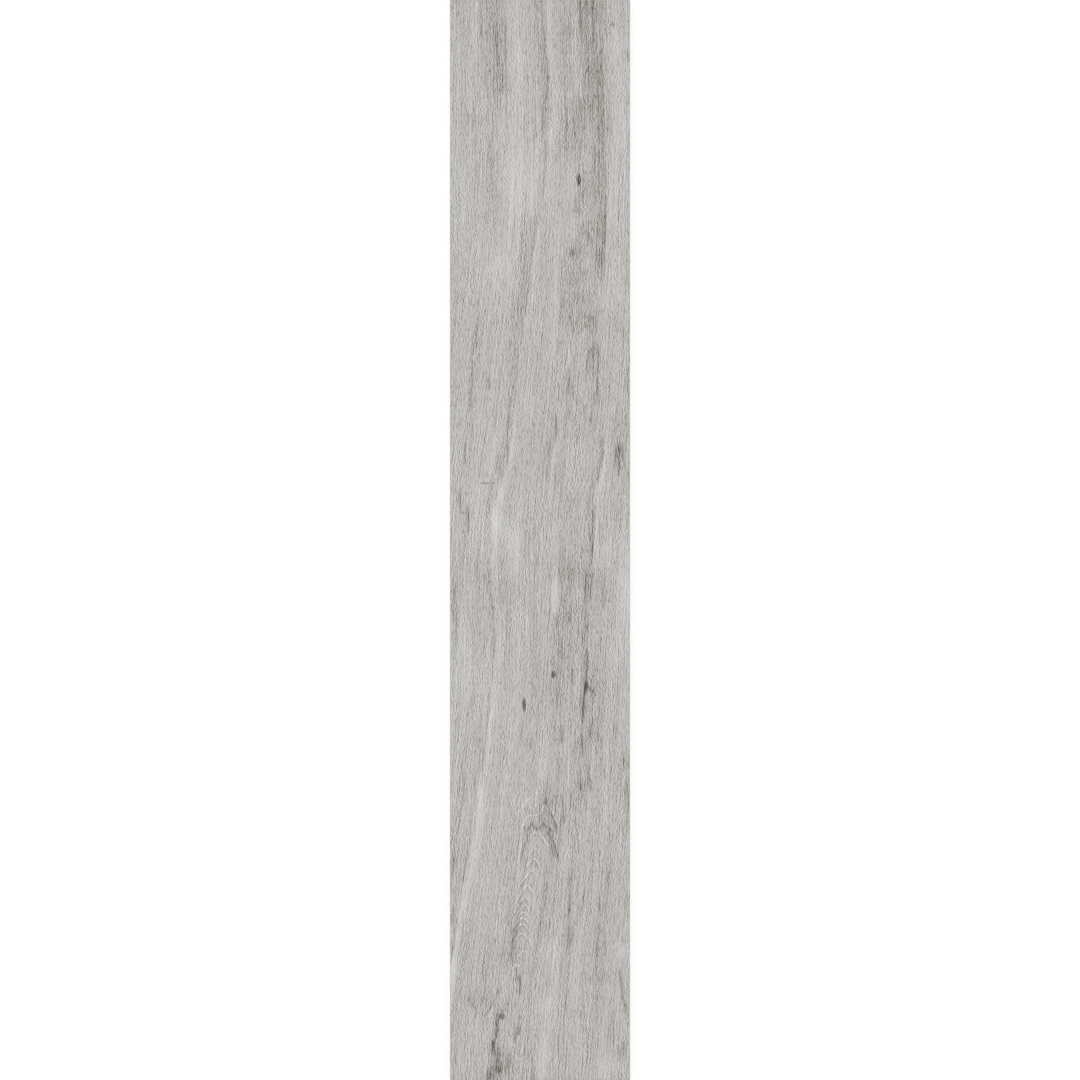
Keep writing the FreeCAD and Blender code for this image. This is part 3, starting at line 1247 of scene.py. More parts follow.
    Line(((170.6, 1106), (170.3, 1124)), -20, 1.1),
    Line(((48, 1107), (47.8, 1115.5), (43.8, 1121), (40.3, 1126)), -29, 1.2),
    Line(((35, 1107), (35, 1113)), -24),
    Line(((21.5, 1110), (25.5, 1117), (29.8, 1121), (28.2, 1129), (26.5, 1132)), -24, 1.3),
    Line(((145, 1124), (145, 1129)), -27),
    Line(((50.5, 1125.5), (54.5, 1126.5)), -20, 1.3),
    Line(((54, 1129), (53.4, 1139)), -27, 1.2),
    Line(((78, 1130), (77.1, 1139)), -29, 1.2),
    Line(((52.9, 1141), (52.6, 1146)), -42, 1.6),
    Line(((76.6, 1141), (76.6, 1147)), -48, 1.6),
    Line(((71.3, 1142), (72.3, 1150), (71.8, 1157)), -29, 1.2),
    Line(((51.6, 1148), (50.6, 1158)), -28, 1.2),
    Line(((120.2, 1149), (120.4, 1173)), -19, 1.1),
    Line(((19.4, 1150), (19.4, 1157)), -20),
    Line(((135.9, 1151), (135.9, 1159)), -17),
    Line(((64.8, 1152), (66.5, 1157), (69.5, 1161)), 24, 1.0, 1.5),
    Line(((47.4, 1157), (47.9, 1169)), -39, 1.6),
    Line(((189.2, 1165), (189.5, 1176)), -27, 1.1),
    Line(((147, 1169), (147.3, 1179)), -19),
    Line(((70, 1170.5), (73, 1173.5), (76, 1177), (78.5, 1176)), 19, 1.0, 1.5),
    Line(((129.4, 1174), (129.5, 1181)), -19),
    Line(((63.7, 1176), (64, 1185)), -28),
    Line(((51.6, 1178), (51.3, 1187)), -28, 1.3),
    Line(((56.2, 1180), (55.6, 1193)), -42, 1.4),
    Line(((94.2, 1187), (93, 1198)), -25, 1.2),
    Line(((68, 1189), (69.5, 1194.5), (73, 1196), (77, 1194.5)), 16),
    Line(((41.8, 1190), (41.6, 1200)), -29, 1.3),
    Line(((48.5, 1190), (48.5, 1200)), -29, 1.2),
    Line(((124.4, 1193), (124.5, 1200)), -20),
    Line(((132.8, 1194), (132.8, 1200)), -20),
)

KNOTS = (
    Knot(181, 27, 2.2, 3.2, -34),
    Knot(143, 200, 2.8, 6.5, -84),
    Knot(136, 281, 2.4, 4.5, -34),
    Knot(115, 749, 2.6, 4.2, -84),
    Knot(151, 763, 2.6, 7.0, -40),
    Knot(82.3, 783, 2.1, 7.6, -98),
    Knot(145, 874, 2.0, 4.5, -30),
    Knot(58, 1129, 3.0, 3.6, -62),
    Knot(55, 1188, 3.0, 4.0, -34),
)

PALE_EYE = Knot(117.7, 661, 5.4, 20, 8)

CROSS_CHECK = CrossCheck(31, 52, 537, 0.6, -84)


@dataclass(frozen=True)
class WoodFigure:
    """The figure of the wood, worked out on a grid of places on the face."""

    across: np.ndarray
    down: np.ndarray

    LEAN_STEPS = 400        # into which the face is divided to add up the grain's lean

    def grain(self) -> np.ndarray:
        """Grain coordinates of each place.

        Returns:
            Millimetres across the grain, the ring's number, and millimetres from ring to ring.
        """
        leans = np.array([(row.down, row.left, row.right) for row in LEANS])
        steps = np.linspace(0, leans[-1, 0], self.LEAN_STEPS)
        shifts = []
        for side in (1, 2):
            slope = np.interp(steps, leans[:, 0], leans[:, side])
            total = np.cumsum(slope) * (steps[1] - steps[0])
            shifts.append(np.interp(self.down, steps, total - np.interp(steps.mean(), steps, total)))
        share = (self.across / self.across.max())[None, :]
        moved = shifts[0][:, None] * (1 - share) + shifts[1][:, None] * share
        number, spacing, _ = RINGS.drawn(self.across, self.down)
        return np.stack([self.across[None, :] - moved, number, spacing], axis=-1)

    def lines(self) -> np.ndarray:
        """The nearest thin line to each place.

        Returns:
            Millimetres beside the line, its change of level, and its width.
        """
        places = np.stack(np.meshgrid(self.across, self.down), axis=-1)
        nearest = np.full(places.shape[:2], np.inf)
        drawn = np.ones((*places.shape[:2], 3))
        for line in THIN_LINES:
            distance, facts = line.drawn(places)
            closer = distance < nearest
            nearest = np.where(closer, distance, nearest)
            drawn = np.where(closer[..., None], facts, drawn)
        return drawn

    def tones(self) -> np.ndarray:
        """Tones of each place.

        Returns:
            Levels of the soft tones, of the broken streaks, and how strongly rings are printed.
        """
        soft = sum(mark.tone(self.across, self.down) for mark in (*SOFT_STREAKS, *SOFT_PATCHES))
        sharp = sum(mark.tone(self.across, self.down) for mark in SHARP_MARKS)
        _, _, strength = RINGS.drawn(self.across, self.down)
        return np.stack([soft, sharp, strength], axis=-1)


# Finishes

class Region(IntEnum):
    """Where on the tile a facet lies, which is also the number of its material."""

    FACE = 0
    EDGE = 1
    BACK = 2


class Field(Enum):
    """What the face's mesh carries for the print, by the attribute's name."""

    GRAIN = "wood_grain"
    TONES = "wood_tones"
    LINES = "wood_lines"


@dataclass(frozen=True)
class Strand:
    """One size of fine fibre.

    Attributes:
        pitch: from one fibre to the next.
        length: from one break to the next.
        levels: how far its tones lie apart, in display levels.
        leans: whether it follows the lean of the grain.
    """

    pitch: float
    length: float
    levels: float
    leans: bool


@dataclass(frozen=True)
class Fibres:
    """The fibre pattern, which the print and the emboss share. Lengths are millimetres."""

    sizes: tuple[Strand, ...] = (
        Strand(1.0, 2, 52, False),
        Strand(1.0, 4, 25, False),
        Strand(1.1, 10, 20, True),
        Strand(1.3, 40, 21, True),
    )
    strand_relief: float = 0.35     # how much of its neighbours is taken away from a fibre
    strand_wander: float = 0.8      # how far a fibre strays to its sides

    WANDER = Pattern(12, 90, 57.3)
    WAVES = Pattern(17, 280, 223.9, 1.0, 0.95)
    FIRST_LAYER = 3                 # pattern of cells of the first size of fibre
    STAGGER = 0.37                  # shares of a fibre by which each size lies beside the last

    def strands(self, sheet: NodeSheet, place: Signal, across: Signal, along: Signal) -> Signal:
        """Fine fibres of several lengths.

        Args:
            sheet: the nodes to add to.
            place: millimetres from the left long edge.
            across: millimetres across the leaning grain.
            along: millimetres along the fibres.

        Returns:
            The sum of the fibres of each length, in display levels about zero.
        """
        wander = self.WANDER.on(sheet, place, along) * self.strand_wander
        taps = ((0.0, 1.0), (-1.0, -self.strand_relief), (1.0, -self.strand_relief))
        total = 0.0
        for index, strand in enumerate(self.sizes):
            middle = across if strand.leans else place
            beside = (middle + wander) / strand.pitch + self.STAGGER * index
            for shift, share in taps:
                cells = sheet.cells(beside + shift, along / strand.length, self.FIRST_LAYER + index)
                total = total + cells * (strand.levels * share)
        return total

    def waves(self, sheet: NodeSheet, across: Signal, along: Signal) -> Signal:
        """Waves of tone along the grain, about zero."""
        return self.WAVES.on(sheet, across, along)


@dataclass(frozen=True)
class PrintedGlaze:
    """Matt glaze over an ink-jet print of weathered grey oak."""

    low: Vector
    high: Vector
    fibres: Fibres
    base_level: float = 189.5       # display level of the plain print
    roughness: float = 0.62

    WOBBLE = Pattern(4.5, 2.2, 101.3)       # by which thin lines stray
    BUNDLES = Pattern(3, 14, 131.3)         # of fibres that share a tone
    THREADS = Pattern(2.2, 120, 401.9)      # long thin lines of tone
    CALM = Pattern(14, 90, 311.3)           # where the fibres show more or less
    PORES = Pattern(1.2, 7, 177.3)          # short dark dashes
    DOTS = Pattern(1.1, 40, 71.3)           # of the cross check
    STRAY = 0.44                            # millimetres for a wobble of 1
    WAVE_LEVELS = 20                        # display levels of each kind of mark
    THREAD_LEVELS = 15
    BUNDLE_LEVELS = 14
    PORE_LEVELS = 34
    EARLY_WOOD_LEVELS = 30
    LATE_WOOD_LEVELS = 22
    LATE_WOOD_OFFSET = 1.5                  # millimetres below the early wood of its ring

    # Colour of the inks at each display level: the darker, the warmer
    INKS = (
        (40, (42, 36, 31)),
        (90, (93, 86, 79)),
        (120, (123, 117, 110)),
        (145, (149, 144, 138)),
        (165, (169, 165, 160)),
        (180, (184, 181, 177)),
        (190, (193, 191, 187)),
        (202, (205, 203, 200)),
        (216, (218, 217, 215)),
        (250, (250, 250, 249)),
    )

    def dressed(self) -> bpy.types.Material:
        """Make the material.

        Returns:
            The material for the decorated face.
        """
        material, sheet, surface = blank_finish("printed_glaze")
        across, ring, spacing = sheet.parts(attribute(sheet, Field.GRAIN))
        soft, sharp, ringed = sheet.parts(attribute(sheet, Field.TONES))
        beside, change, wide = sheet.parts(attribute(sheet, Field.LINES))
        x, y, _ = sheet.parts(sheet.add("ShaderNodeTexCoord", output="Object"))
        place = (x - self.low.x) / MM
        down = (self.high.y - y) / MM
        strands = self.fibres.strands(sheet, place, across, down)
        waves = self.fibres.waves(sheet, across, down)
        stray = self.WOBBLE.on(sheet, place, down) * self.STRAY
        bundles = self.BUNDLES.on(sheet, place, down)
        threads = self.THREADS.on(sheet, across, down)
        calm = self.CALM.on(sheet, across, down)
        pores = self.PORES.on(sheet, place, down).step(0.14, 0.34)

        # Dark streaks show their fibres, threads and pores more strongly than pale ones
        thread_levels = (self.THREAD_LEVELS - soft * 0.6).held(9, 30)
        tone = soft + waves * self.WAVE_LEVELS + threads * thread_levels
        eye = self._closeness(PALE_EYE, place, down, strands).step(1.1, 0.75)
        contrast = ((0.98 - tone * 0.02) * (1 + calm)).held(0.5, 1.8) * (1 - eye * 0.5 - ringed * 0.3)
        pore_share = (0.6 - tone * 0.025 - calm * 1.5).held(0.0, 2.0)

        # Dark fibres stand out farther than pale ones
        fine = strands + bundles * self.BUNDLE_LEVELS
        fine = fine * 0.88 - abs(fine) * 0.38
        ragged = (0.6 + strands * sheet.math("SIGN", sharp) * 0.025).held(0.0, 2.0)
        level = self.base_level + tone + contrast * fine - pores * pore_share * self.PORE_LEVELS
        level = level + sharp * ragged * 2.0 + self._arches(ring, spacing, ringed, strands, stray)
        level = level + change * (abs(beside + stray) / wide).step(1.0, 0.3)
        level = level + eye * PALE_EYE.change + self._knots(sheet, place, down, strands)
        inks = [(ink_level / WHITE, ink) for ink_level, ink in self.INKS]

        sheet.feed(surface.inputs["Base Color"], sheet.ramp(inks, level / WHITE))
        sheet.feed(surface.inputs["Roughness"], self.roughness - bundles * 0.15)
        height = waves + threads * 0.5 + bundles * 0.5 - pores * 0.3 + sharp * 0.01
        sheet.feed(surface.inputs["Normal"], sheet.bumped(height, 0.12, 0.15 * MM))
        return material

    def _arches(self, ring: Signal, spacing: Signal, ringed: Signal, strands: Signal,
                stray: Signal) -> Signal:
        """Pale early wood and dark late wood along each arch.

        Args:
            ring: the ring's number.
            spacing: millimetres from one ring to the next.
            ringed: how strongly the rings are printed.
            strands: the fine fibres.
            stray: millimetres by which the lines stray.

        Returns:
            Levels to add.
        """
        off = ((ring + 0.5).fraction() - 0.5) * spacing + stray
        early = abs(off).step(0.95, 0.3) * self.EARLY_WOOD_LEVELS
        late = abs(off - self.LATE_WOOD_OFFSET).step(1.3, 0.4) * self.LATE_WOOD_LEVELS
        broken = (1.0 + strands * 0.01).held(0.4, 1.5)
        return ringed * broken * (early - late)

    @staticmethod
    def _closeness(knot: Knot, across: Signal, down: Signal, strands: Signal) -> Signal:
        """How far each place lies from a knot's middle, squared, with 1 at its rim.

        Args:
            knot: the knot.
            across: millimetres from the left long edge.
            down: millimetres from the head.
            strands: the fine fibres, which fray the rim.

        Returns:
            The squared distance.
        """
        beside = (across - knot.across) / knot.wide
        below = (down - knot.down) / knot.long
        return beside * beside + below * below + strands * 0.008

    def _knots(self, sheet: NodeSheet, across: Signal, down: Signal, strands: Signal) -> Signal:
        """Pin knots and the dotted check.

        Args:
            sheet: the material's nodes.
            across: millimetres from the left long edge.
            down: millimetres from the head.
            strands: the fine fibres.

        Returns:
            Levels to add.
        """
        total = 0.0
        for knot in KNOTS:
            off = self._closeness(knot, across, down, strands)
            total = total + off.step(1.7, 0.1) * knot.change
        mark = CROSS_CHECK
        line = abs(down - mark.down).step(2 * mark.thick, 0.5 * mark.thick)
        reach = (mark.end - mark.start) / 2
        within = abs(across - (mark.start + mark.end) / 2).step(reach, 0.6 * reach)
        dots = self.DOTS.on(sheet, across, down).step(-0.1, 0.15)
        return total + line * within * dots * mark.change


@dataclass(frozen=True)
class GroundEdge:
    """Porcelain body laid bare by the grinding wheels, with the glaze as a thin line on top."""

    high: Vector
    glaze: float = 0.45             # millimetres of glaze and engobe over the body
    roughness: float = 0.58

    SCRATCHES = Pattern(45, 0.16, 5.1, 2.0, 0.6)
    GRAINS = Pattern(0.7, 0.5, 9.7, 2.0, 0.6)
    CLOUDS = Pattern(60, 9, 15.3, 2.0)
    GLAZE_BLUR = 0.12               # millimetres to each side of the line where the glaze ends
    BODY_TONES = ((0.25, (176, 171, 164)), (0.5, (190, 186, 179)), (0.75, (201, 197, 191)))
    GLAZE_COLOUR = (197, 195, 191)

    def dressed(self) -> bpy.types.Material:
        """Make the material.

        Returns:
            The material for the ground edges and their bevel.
        """
        material, sheet, surface = blank_finish("ground_porcelain_edge")
        x, y, z = sheet.parts(sheet.add("ShaderNodeTexCoord", output="Object"))
        run = (x + y) / MM
        depth = (self.high.z - z) / MM
        patterns = (self.SCRATCHES, self.GRAINS, self.CLOUDS)
        scratches, grains, clouds = (pattern.on(sheet, run, depth) for pattern in patterns)
        tone = 0.5 + scratches * 0.35 + grains * 0.45 + clouds * 0.4
        body = sheet.ramp(self.BODY_TONES, tone)
        glazed = (depth + grains * 0.25).step(self.glaze + self.GLAZE_BLUR, self.glaze - self.GLAZE_BLUR)
        sheet.feed(surface.inputs["Base Color"], sheet.covered(body, self.GLAZE_COLOUR, glazed))
        sheet.feed(surface.inputs["Roughness"], self.roughness + scratches * 0.15)
        sheet.feed(surface.inputs["Normal"], sheet.bumped(scratches + grains * 0.5, 0.3, 0.05 * MM))
        return material


@dataclass(frozen=True)
class PressedBack:
    """Bare biscuit of the back, with the white kiln wash that the rollers leave on its ribs."""

    low: Vector
    roughness: float = 0.85

    CLOUDS = Pattern(55, 90, 2.9, 3.0)
    SAND = Pattern(0.9, 0.9, 7.3, 2.0, 0.65)
    ROLLED = Pattern(30, 5, 13.1, 3.0, 0.6)     # wipes of the kiln wash
    SPECKS = Pattern(2.6, 2.6, 19.7)
    WASH_RISE = (0.3, 0.05)         # millimetres above the ribs where the wash begins, and is whole
    BISCUIT_TONES = ((0.2, (168, 160, 150)), (0.5, (186, 179, 169)), (0.8, (200, 194, 185)))
    WASH_COLOUR = (226, 224, 219)
    SPECK_COLOUR = (120, 110, 99)

    def dressed(self) -> bpy.types.Material:
        """Make the material.

        Returns:
            The material for the back.
        """
        material, sheet, surface = blank_finish("pressed_biscuit_back")
        x, y, z = sheet.parts(sheet.add("ShaderNodeTexCoord", output="Object"))
        across, along, rise = x / MM, y / MM, (z - self.low.z) / MM
        patterns = (self.CLOUDS, self.SAND, self.ROLLED, self.SPECKS)
        clouds, sand, rolled, spots = (pattern.on(sheet, across, along) for pattern in patterns)
        biscuit = sheet.ramp(self.BISCUIT_TONES, 0.5 + clouds * 0.9 + sand * 0.5)
        wash = rise.step(*self.WASH_RISE) * (rolled + sand * 0.5).step(-0.1, 0.16) * 0.8
        washed = sheet.covered(biscuit, self.WASH_COLOUR, wash)
        colour = sheet.covered(washed, self.SPECK_COLOUR, spots.step(0.27, 0.33) * 0.7)
        sheet.feed(surface.inputs["Base Color"], colour)
        sheet.feed(surface.inputs["Roughness"], self.roughness - wash * 0.1)
        sheet.feed(surface.inputs["Normal"], sheet.bumped(sand + rolled * 0.3, 0.5, 0.12 * MM))
        return material


def blank_finish(name: str) -> tuple[bpy.types.Material, NodeSheet, bpy.types.Node]:
    """Start a material with one surface shader.

    Args:
        name: the material's name.

    Returns:
        The material, its node sheet and its surface shader.
    """
    material = bpy.data.materials.new(name)
    material.use_nodes = True
    sheet = NodeSheet(material.node_tree)
    surface = sheet.add("ShaderNodeBsdfPrincipled")
    sheet.add("ShaderNodeOutputMaterial", None, {"Surface": surface})
    return material, sheet, surface.socket.node


def attribute(sheet: NodeSheet, field: Field) -> Signal:
    """What the mesh carries for the print, in a material."""
    return sheet.add("ShaderNodeAttribute", {"attribute_name": field.value}, None, "Vector")


# The tile

@dataclass
class MeshParts:
    """Vertices and facets of the tile while its regions are put together."""

    points: list[np.ndarray]
    facets: list[tuple[int, ...]]
    regions: list[Region]
    count: int = 0

    def add_points(self, points: np.ndarray) -> np.ndarray:
        """Add vertices.

        Args:
            points: their places, in metres.

        Returns:
            Their numbers.
        """
        self.points.append(points)
        numbers = np.arange(self.count, self.count + len(points))
        self.count += len(points)
        return numbers

    def add_facet(self, corners: Sequence[int], region: Region) -> None:
        """Add one facet, with its corners anticlockwise as seen from outside."""
        self.facets.append(tuple(int(corner) for corner in corners))
        self.regions.append(region)

    def stitch(self, lower: np.ndarray, upper: np.ndarray, spots: np.ndarray, region: Region) -> None:
        """Fill the strip between two rows of vertices that start and end at the same places.

        Args:
            lower: numbers of the row that lies to the right when walking along the strip.
            upper: numbers of the other row.
            spots: places of all vertices, from which the rows' lengths are taken.
            region: the strip's region.
        """
        low_share, up_share = (run_shares(spots[row]) for row in (lower, upper))
        low, up = 0, 0
        while low < len(lower) - 1 or up < len(upper) - 1:
            more_low = low < len(lower) - 1
            more_up = up < len(upper) - 1
            if more_low and (not more_up or low_share[low + 1] <= up_share[up + 1]):
                self.add_facet((lower[low], lower[low + 1], upper[up]), region)
                low += 1
            else:
                self.add_facet((lower[low], upper[up + 1], upper[up]), region)
                up += 1


def run_shares(row: np.ndarray) -> np.ndarray:
    """How far along a row each of its points lies, from 0 to 1."""
    lengths = np.r_[0.0, np.cumsum(np.linalg.norm(np.diff(row, axis=0), axis=1))]
    return lengths / lengths[-1]


def sides_of(ring: np.ndarray, counts: Sequence[int]) -> list[np.ndarray]:
    """Split a closed ring of vertices into sides that share their corners.

    Args:
        ring: numbers of the vertices.
        counts: how many facets lie along each side.

    Returns:
        One row of vertices for each side.
    """
    closed = np.r_[ring, ring[0]]
    ends = np.cumsum([0, *counts])
    return [closed[start:end + 1] for start, end in zip(ends, ends[1:])]


@dataclass
class PlankTile:
    """The tile: an embossed face, ground edges and a waffle back, as one closed mesh.

    Attributes:
        low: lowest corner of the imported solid.
        high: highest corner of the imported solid.
        bevel: micro-bevel round the face, in metres like the other lengths.
        columns: facets of the face from one long edge to the other.
        rows: stretches of the face from foot to head, each as its end in millimetres from the
            head and its number of facets. They are finer where the arches lie.
        emboss: depth of the deepest grain in the face.
        pitch: from one pocket of the back to the next.
        rib: width of the ribs between pockets.
        depth: how far the pocket floors lie above the back plane.
        draft: slope of the pocket walls, in degrees from the pressing direction.
        border: least width of the plain band round the pockets.
    """

    low: Vector
    high: Vector
    bevel: float = 0.6 * MM
    columns: int = 200
    rows: tuple[tuple[float, int], ...] = ((1085.0, 44), (880.0, 136), (0.0, 240))
    emboss: float = 0.28 * MM
    pitch: float = 25 * MM
    rib: float = 5 * MM
    depth: float = 0.7 * MM
    draft: float = 40.0
    border: float = 10 * MM

    TOUCHING = 0.01 * MM        # places closer than this are the same
    # Sides of the back's pattern, anticlockwise: the axis that it faces, which way, and its order
    BACK_SIDES = ((1, -1, 1), (0, 1, 1), (1, 1, -1), (0, -1, -1))

    # The flat layout for baking, in shares of its side: where each strip starts and its width
    MARGIN = 0.004
    WHOLE = 1 - 2 * MARGIN
    FACE_WIDTH = 0.696
    BACK_END, BACK_WIDTH = 0.915, 0.2
    LONG_EDGES, LONG_EDGE_PITCH, LONG_EDGE_WIDTH = 0.928, 0.028, 0.022
    SHORT_EDGES, SHORT_EDGE_PITCH, SHORT_EDGE_WIDTH, SHORT_EDGE_LENGTH = 0.984, 0.516, 0.014, 0.476

    def build(self, materials: dict[Region, bpy.types.Material]) -> bpy.types.Object:
        """Make the tile.

        Args:
            materials: the finish of each region.

        Returns:
            The finished object, at the origin.
        """
        figure = self._figure()
        sheet = self._flat_sheet(figure)
        face = self._embossed(sheet, materials[Region.FACE])
        back = self._waffle(materials[Region.BACK])
        parts = MeshParts([], [], [])
        front = parts.add_points(face)
        self._add_face(parts, front)
        rim = self._add_bevel(parts, front)
        foot = self._add_foot(parts)
        self._add_walls(parts, rim, foot)
        self._add_back(parts, back, foot)
        return self._finished(parts, figure, materials)

    def _face_axes(self) -> tuple[np.ndarray, np.ndarray]:
        """Divide the face into facets.

        Returns:
            Places of its columns and of its rows, in metres.
        """
        x = np.linspace(self.low.x + self.bevel, self.high.x - self.bevel, self.columns + 1)
        y = [np.array([self.low.y + self.bevel])]
        for end, count in self.rows:
            stop = min(self.high.y - end * MM, self.high.y - self.bevel)
            y.append(np.linspace(y[-1][-1], stop, count + 1)[1:])
        return x, np.concatenate(y)

    def _row_count(self) -> int:
        """How many facets the face has from foot to head."""
        return sum(count for _, count in self.rows)

    def _figure(self) -> dict[Field, np.ndarray]:
        """Work out the figure of the print.

        Returns:
            What each vertex of the face carries for it.
        """
        x, y = self._face_axes()
        figure = WoodFigure((x - self.low.x) / MM, (self.high.y - y) / MM)
        fields = {Field.GRAIN: figure.grain(), Field.TONES: figure.tones(), Field.LINES: figure.lines()}
        return {field: values.reshape(-1, 3) for field, values in fields.items()}

    def _flat_sheet(self, figure: dict[Field, np.ndarray]) -> bpy.types.Mesh:
        """The face before it is embossed.

        Args:
            figure: what each vertex carries for the print.

        Returns:
            A flat mesh that carries it.
        """
        x, y = self._face_axes()
        places = [(across, along, self.high.z) for along in y for across in x]
        mesh = bpy.data.meshes.new("flat_sheet")
        mesh.from_pydata(places, [], [])
        for field, values in figure.items():
            store(mesh, field, values)
        return mesh

    def _embossed(self, sheet: bpy.types.Mesh, material: bpy.types.Material) -> np.ndarray:
        """Press the grain into the flat sheet.

        Args:
            sheet: the flat face with its figure.
            material: the face's finish.

        Returns:
            Places of the face's vertices.
        """
        rule = RuleTree("embossed_grain")
        depth = rule.size("Emboss Depth", self.emboss)
        finish = rule.size("Finish", material, "NodeSocketMaterial")
        across, _, _ = rule.parts(rule.carried(Field.GRAIN))
        soft, sharp, _ = rule.parts(rule.carried(Field.TONES))
        _, y, _ = rule.parts(rule.add("GeometryNodeInputPosition"))
        grooves = Fibres().waves(rule, across, (self.high.y - y) / MM) * -2.5
        carved = (0.3 + grooves - sharp * 0.02 - soft * 0.004).held(0.0, 1.0)
        offset = rule.vector(0.0, 0.0, carved * depth * -1.0)
        mesh = Signal(rule, rule.entry.outputs["Mesh"])
        pressed = rule.add("GeometryNodeSetPosition", None, {"Geometry": mesh, "Offset": offset})
        rule.finish(pressed, finish)
        return places_of(rule.made_from(sheet))

    def _waffle(self, material: bpy.types.Material) -> tuple[np.ndarray, list[tuple[int, ...]]]:
        """Press the pockets of the back: one cell, repeated on a grid.

        Args:
            material: the back's finish.

        Returns:
            Places of the vertices, and the facets that join them.
        """
        counts = [self._pockets(span) for span in (self.high.x - self.low.x, self.high.y - self.low.y)]
        mouth = self.pitch - self.rib
        floor = mouth - 2 * self.depth * math.tan(math.radians(self.draft))
        rule = RuleTree("waffle_back")
        pitch = rule.size("Pitch", self.pitch)
        mouth_half = rule.size("Mouth Half", mouth / 2)
        floor_half = rule.size("Floor Half", floor / 2)
        depth = rule.size("Pocket Depth", self.depth)
        level = rule.size("Back Level", self.low.z)
        columns = rule.size("Columns", counts[0], "NodeSocketInt")
        rows = rule.size("Rows", counts[1], "NodeSocketInt")
        finish = rule.size("Finish", material, "NodeSocketMaterial")

        # One cell: its lines at 0.2, 0.6 and 1 are moved to the floor, the mouth and the rib's middle
        cell_grid = {"Size X": 2.0, "Size Y": 2.0, "Vertices X": 6, "Vertices Y": 6}
        cell = rule.add("GeometryNodeMeshGrid", None, cell_grid)
        ways = rule.parts(rule.add("GeometryNodeInputPosition"))[:2]
        floors = [abs(way).step(0.31, 0.3) for way in ways]
        placed = []
        for way, on_floor in zip(ways, floors):
            on_rib = abs(way).step(0.79, 0.8)
            half = pitch * 0.5 * on_rib + floor_half * on_floor + mouth_half * (1 - on_rib - on_floor)
            placed.append(half * rule.math("SIGN", way))
        spot = rule.vector(*placed, floors[0] * floors[1] * depth + level)
        cell = rule.add("GeometryNodeSetPosition", None, {"Geometry": cell, "Position": spot})

        field = {"Size X": pitch * (columns - 1.0), "Size Y": pitch * (rows - 1.0),
                 "Vertices X": columns, "Vertices Y": rows}
        points = rule.add("GeometryNodeMeshGrid", None, field)
        cells = rule.add("GeometryNodeInstanceOnPoints", None, {"Points": points, "Instance": cell})
        whole = rule.add("GeometryNodeRealizeInstances", None, {"Geometry": cells})
        weld = {"Geometry": whole, "Distance": self.TOUCHING}
        welded = rule.add("GeometryNodeMergeByDistance", None, weld)
        turned = rule.add("GeometryNodeFlipFaces", None, {"Mesh": welded})
        rule.finish(turned, finish)
        made = rule.made_from(bpy.data.meshes.new("waffle_seed"))
        return places_of(made), [tuple(facet.vertices) for facet in made.polygons]

    def _pockets(self, span: float) -> int:
        """How many pockets fit along a side of the tile."""
        return int((span - 2 * self.border + self.rib) // self.pitch)

    def _add_face(self, parts: MeshParts, front: np.ndarray) -> None:
        """Join the face's vertices to facets.

        Args:
            parts: the tile so far.
            front: numbers of the face's vertices.
        """
        grid = front.reshape(-1, self.columns + 1)
        for row in range(self._row_count()):
            for column in range(self.columns):
                near, far = grid[row], grid[row + 1]
                corners = (near[column], near[column + 1], far[column + 1], far[column])
                parts.add_facet(corners, Region.FACE)

    def _border_of_face(self, front: np.ndarray) -> list[np.ndarray]:
        """The face's four sides, each a row of vertices, anticlockwise from the foot."""
        grid = front.reshape(-1, self.columns + 1)
        return [grid[0], grid[:, -1], grid[-1, ::-1], grid[::-1, 0]]

    def _add_bevel(self, parts: MeshParts, front: np.ndarray) -> list[np.ndarray]:
        """Add the micro-bevel round the face.

        Args:
            parts: the tile so far.
            front: numbers of the face's vertices.

        Returns:
            The four sides of the bevel's outer rim.
        """
        spots = np.concatenate(parts.points)
        ring = np.concatenate([side[:-1] for side in self._border_of_face(front)])
        places = spots[ring].copy()
        for axis in (0, 1):
            half = self.high[axis]
            places[:, axis] *= half / (half - self.bevel)
        places[:, 2] = self.high.z - self.bevel
        rim = parts.add_points(places)
        for index in range(len(ring)):
            after = (index + 1) % len(ring)
            parts.add_facet((rim[index], rim[after], ring[after], ring[index]), Region.EDGE)
        return sides_of(rim, (self.columns, self._row_count()) * 2)

    def _add_foot(self, parts: MeshParts) -> list[np.ndarray]:
        """Add the tile's outline on the back plane, with a vertex at each rib.

        Args:
            parts: the tile so far.

        Returns:
            The four sides of the outline, anticlockwise from the foot end.
        """
        lines = []
        for axis in (0, 1):
            count = self._pockets(self.high[axis] - self.low[axis])
            ribs = (np.arange(count + 1) - count / 2) * self.pitch
            lines.append(np.r_[self.low[axis], ribs, self.high[axis]])
        x, y = lines
        sides = [
            [(spot, self.low.y) for spot in x[:-1]],
            [(self.high.x, spot) for spot in y[:-1]],
            [(spot, self.high.y) for spot in x[:0:-1]],
            [(self.low.x, spot) for spot in y[:0:-1]],
        ]
        places = np.array([(*spot, self.low.z) for side in sides for spot in side])
        return sides_of(parts.add_points(places), [len(side) for side in sides])

    @staticmethod
    def _add_walls(parts: MeshParts, rim: list[np.ndarray], foot: list[np.ndarray]) -> None:
        """Add the four ground edges.

        Args:
            parts: the tile so far.
            rim: the four sides of the bevel's outer rim.
            foot: the four sides of the tile's outline.
        """
        spots = np.concatenate(parts.points)
        for upper, lower in zip(rim, foot):
            parts.stitch(lower, upper, spots, Region.EDGE)

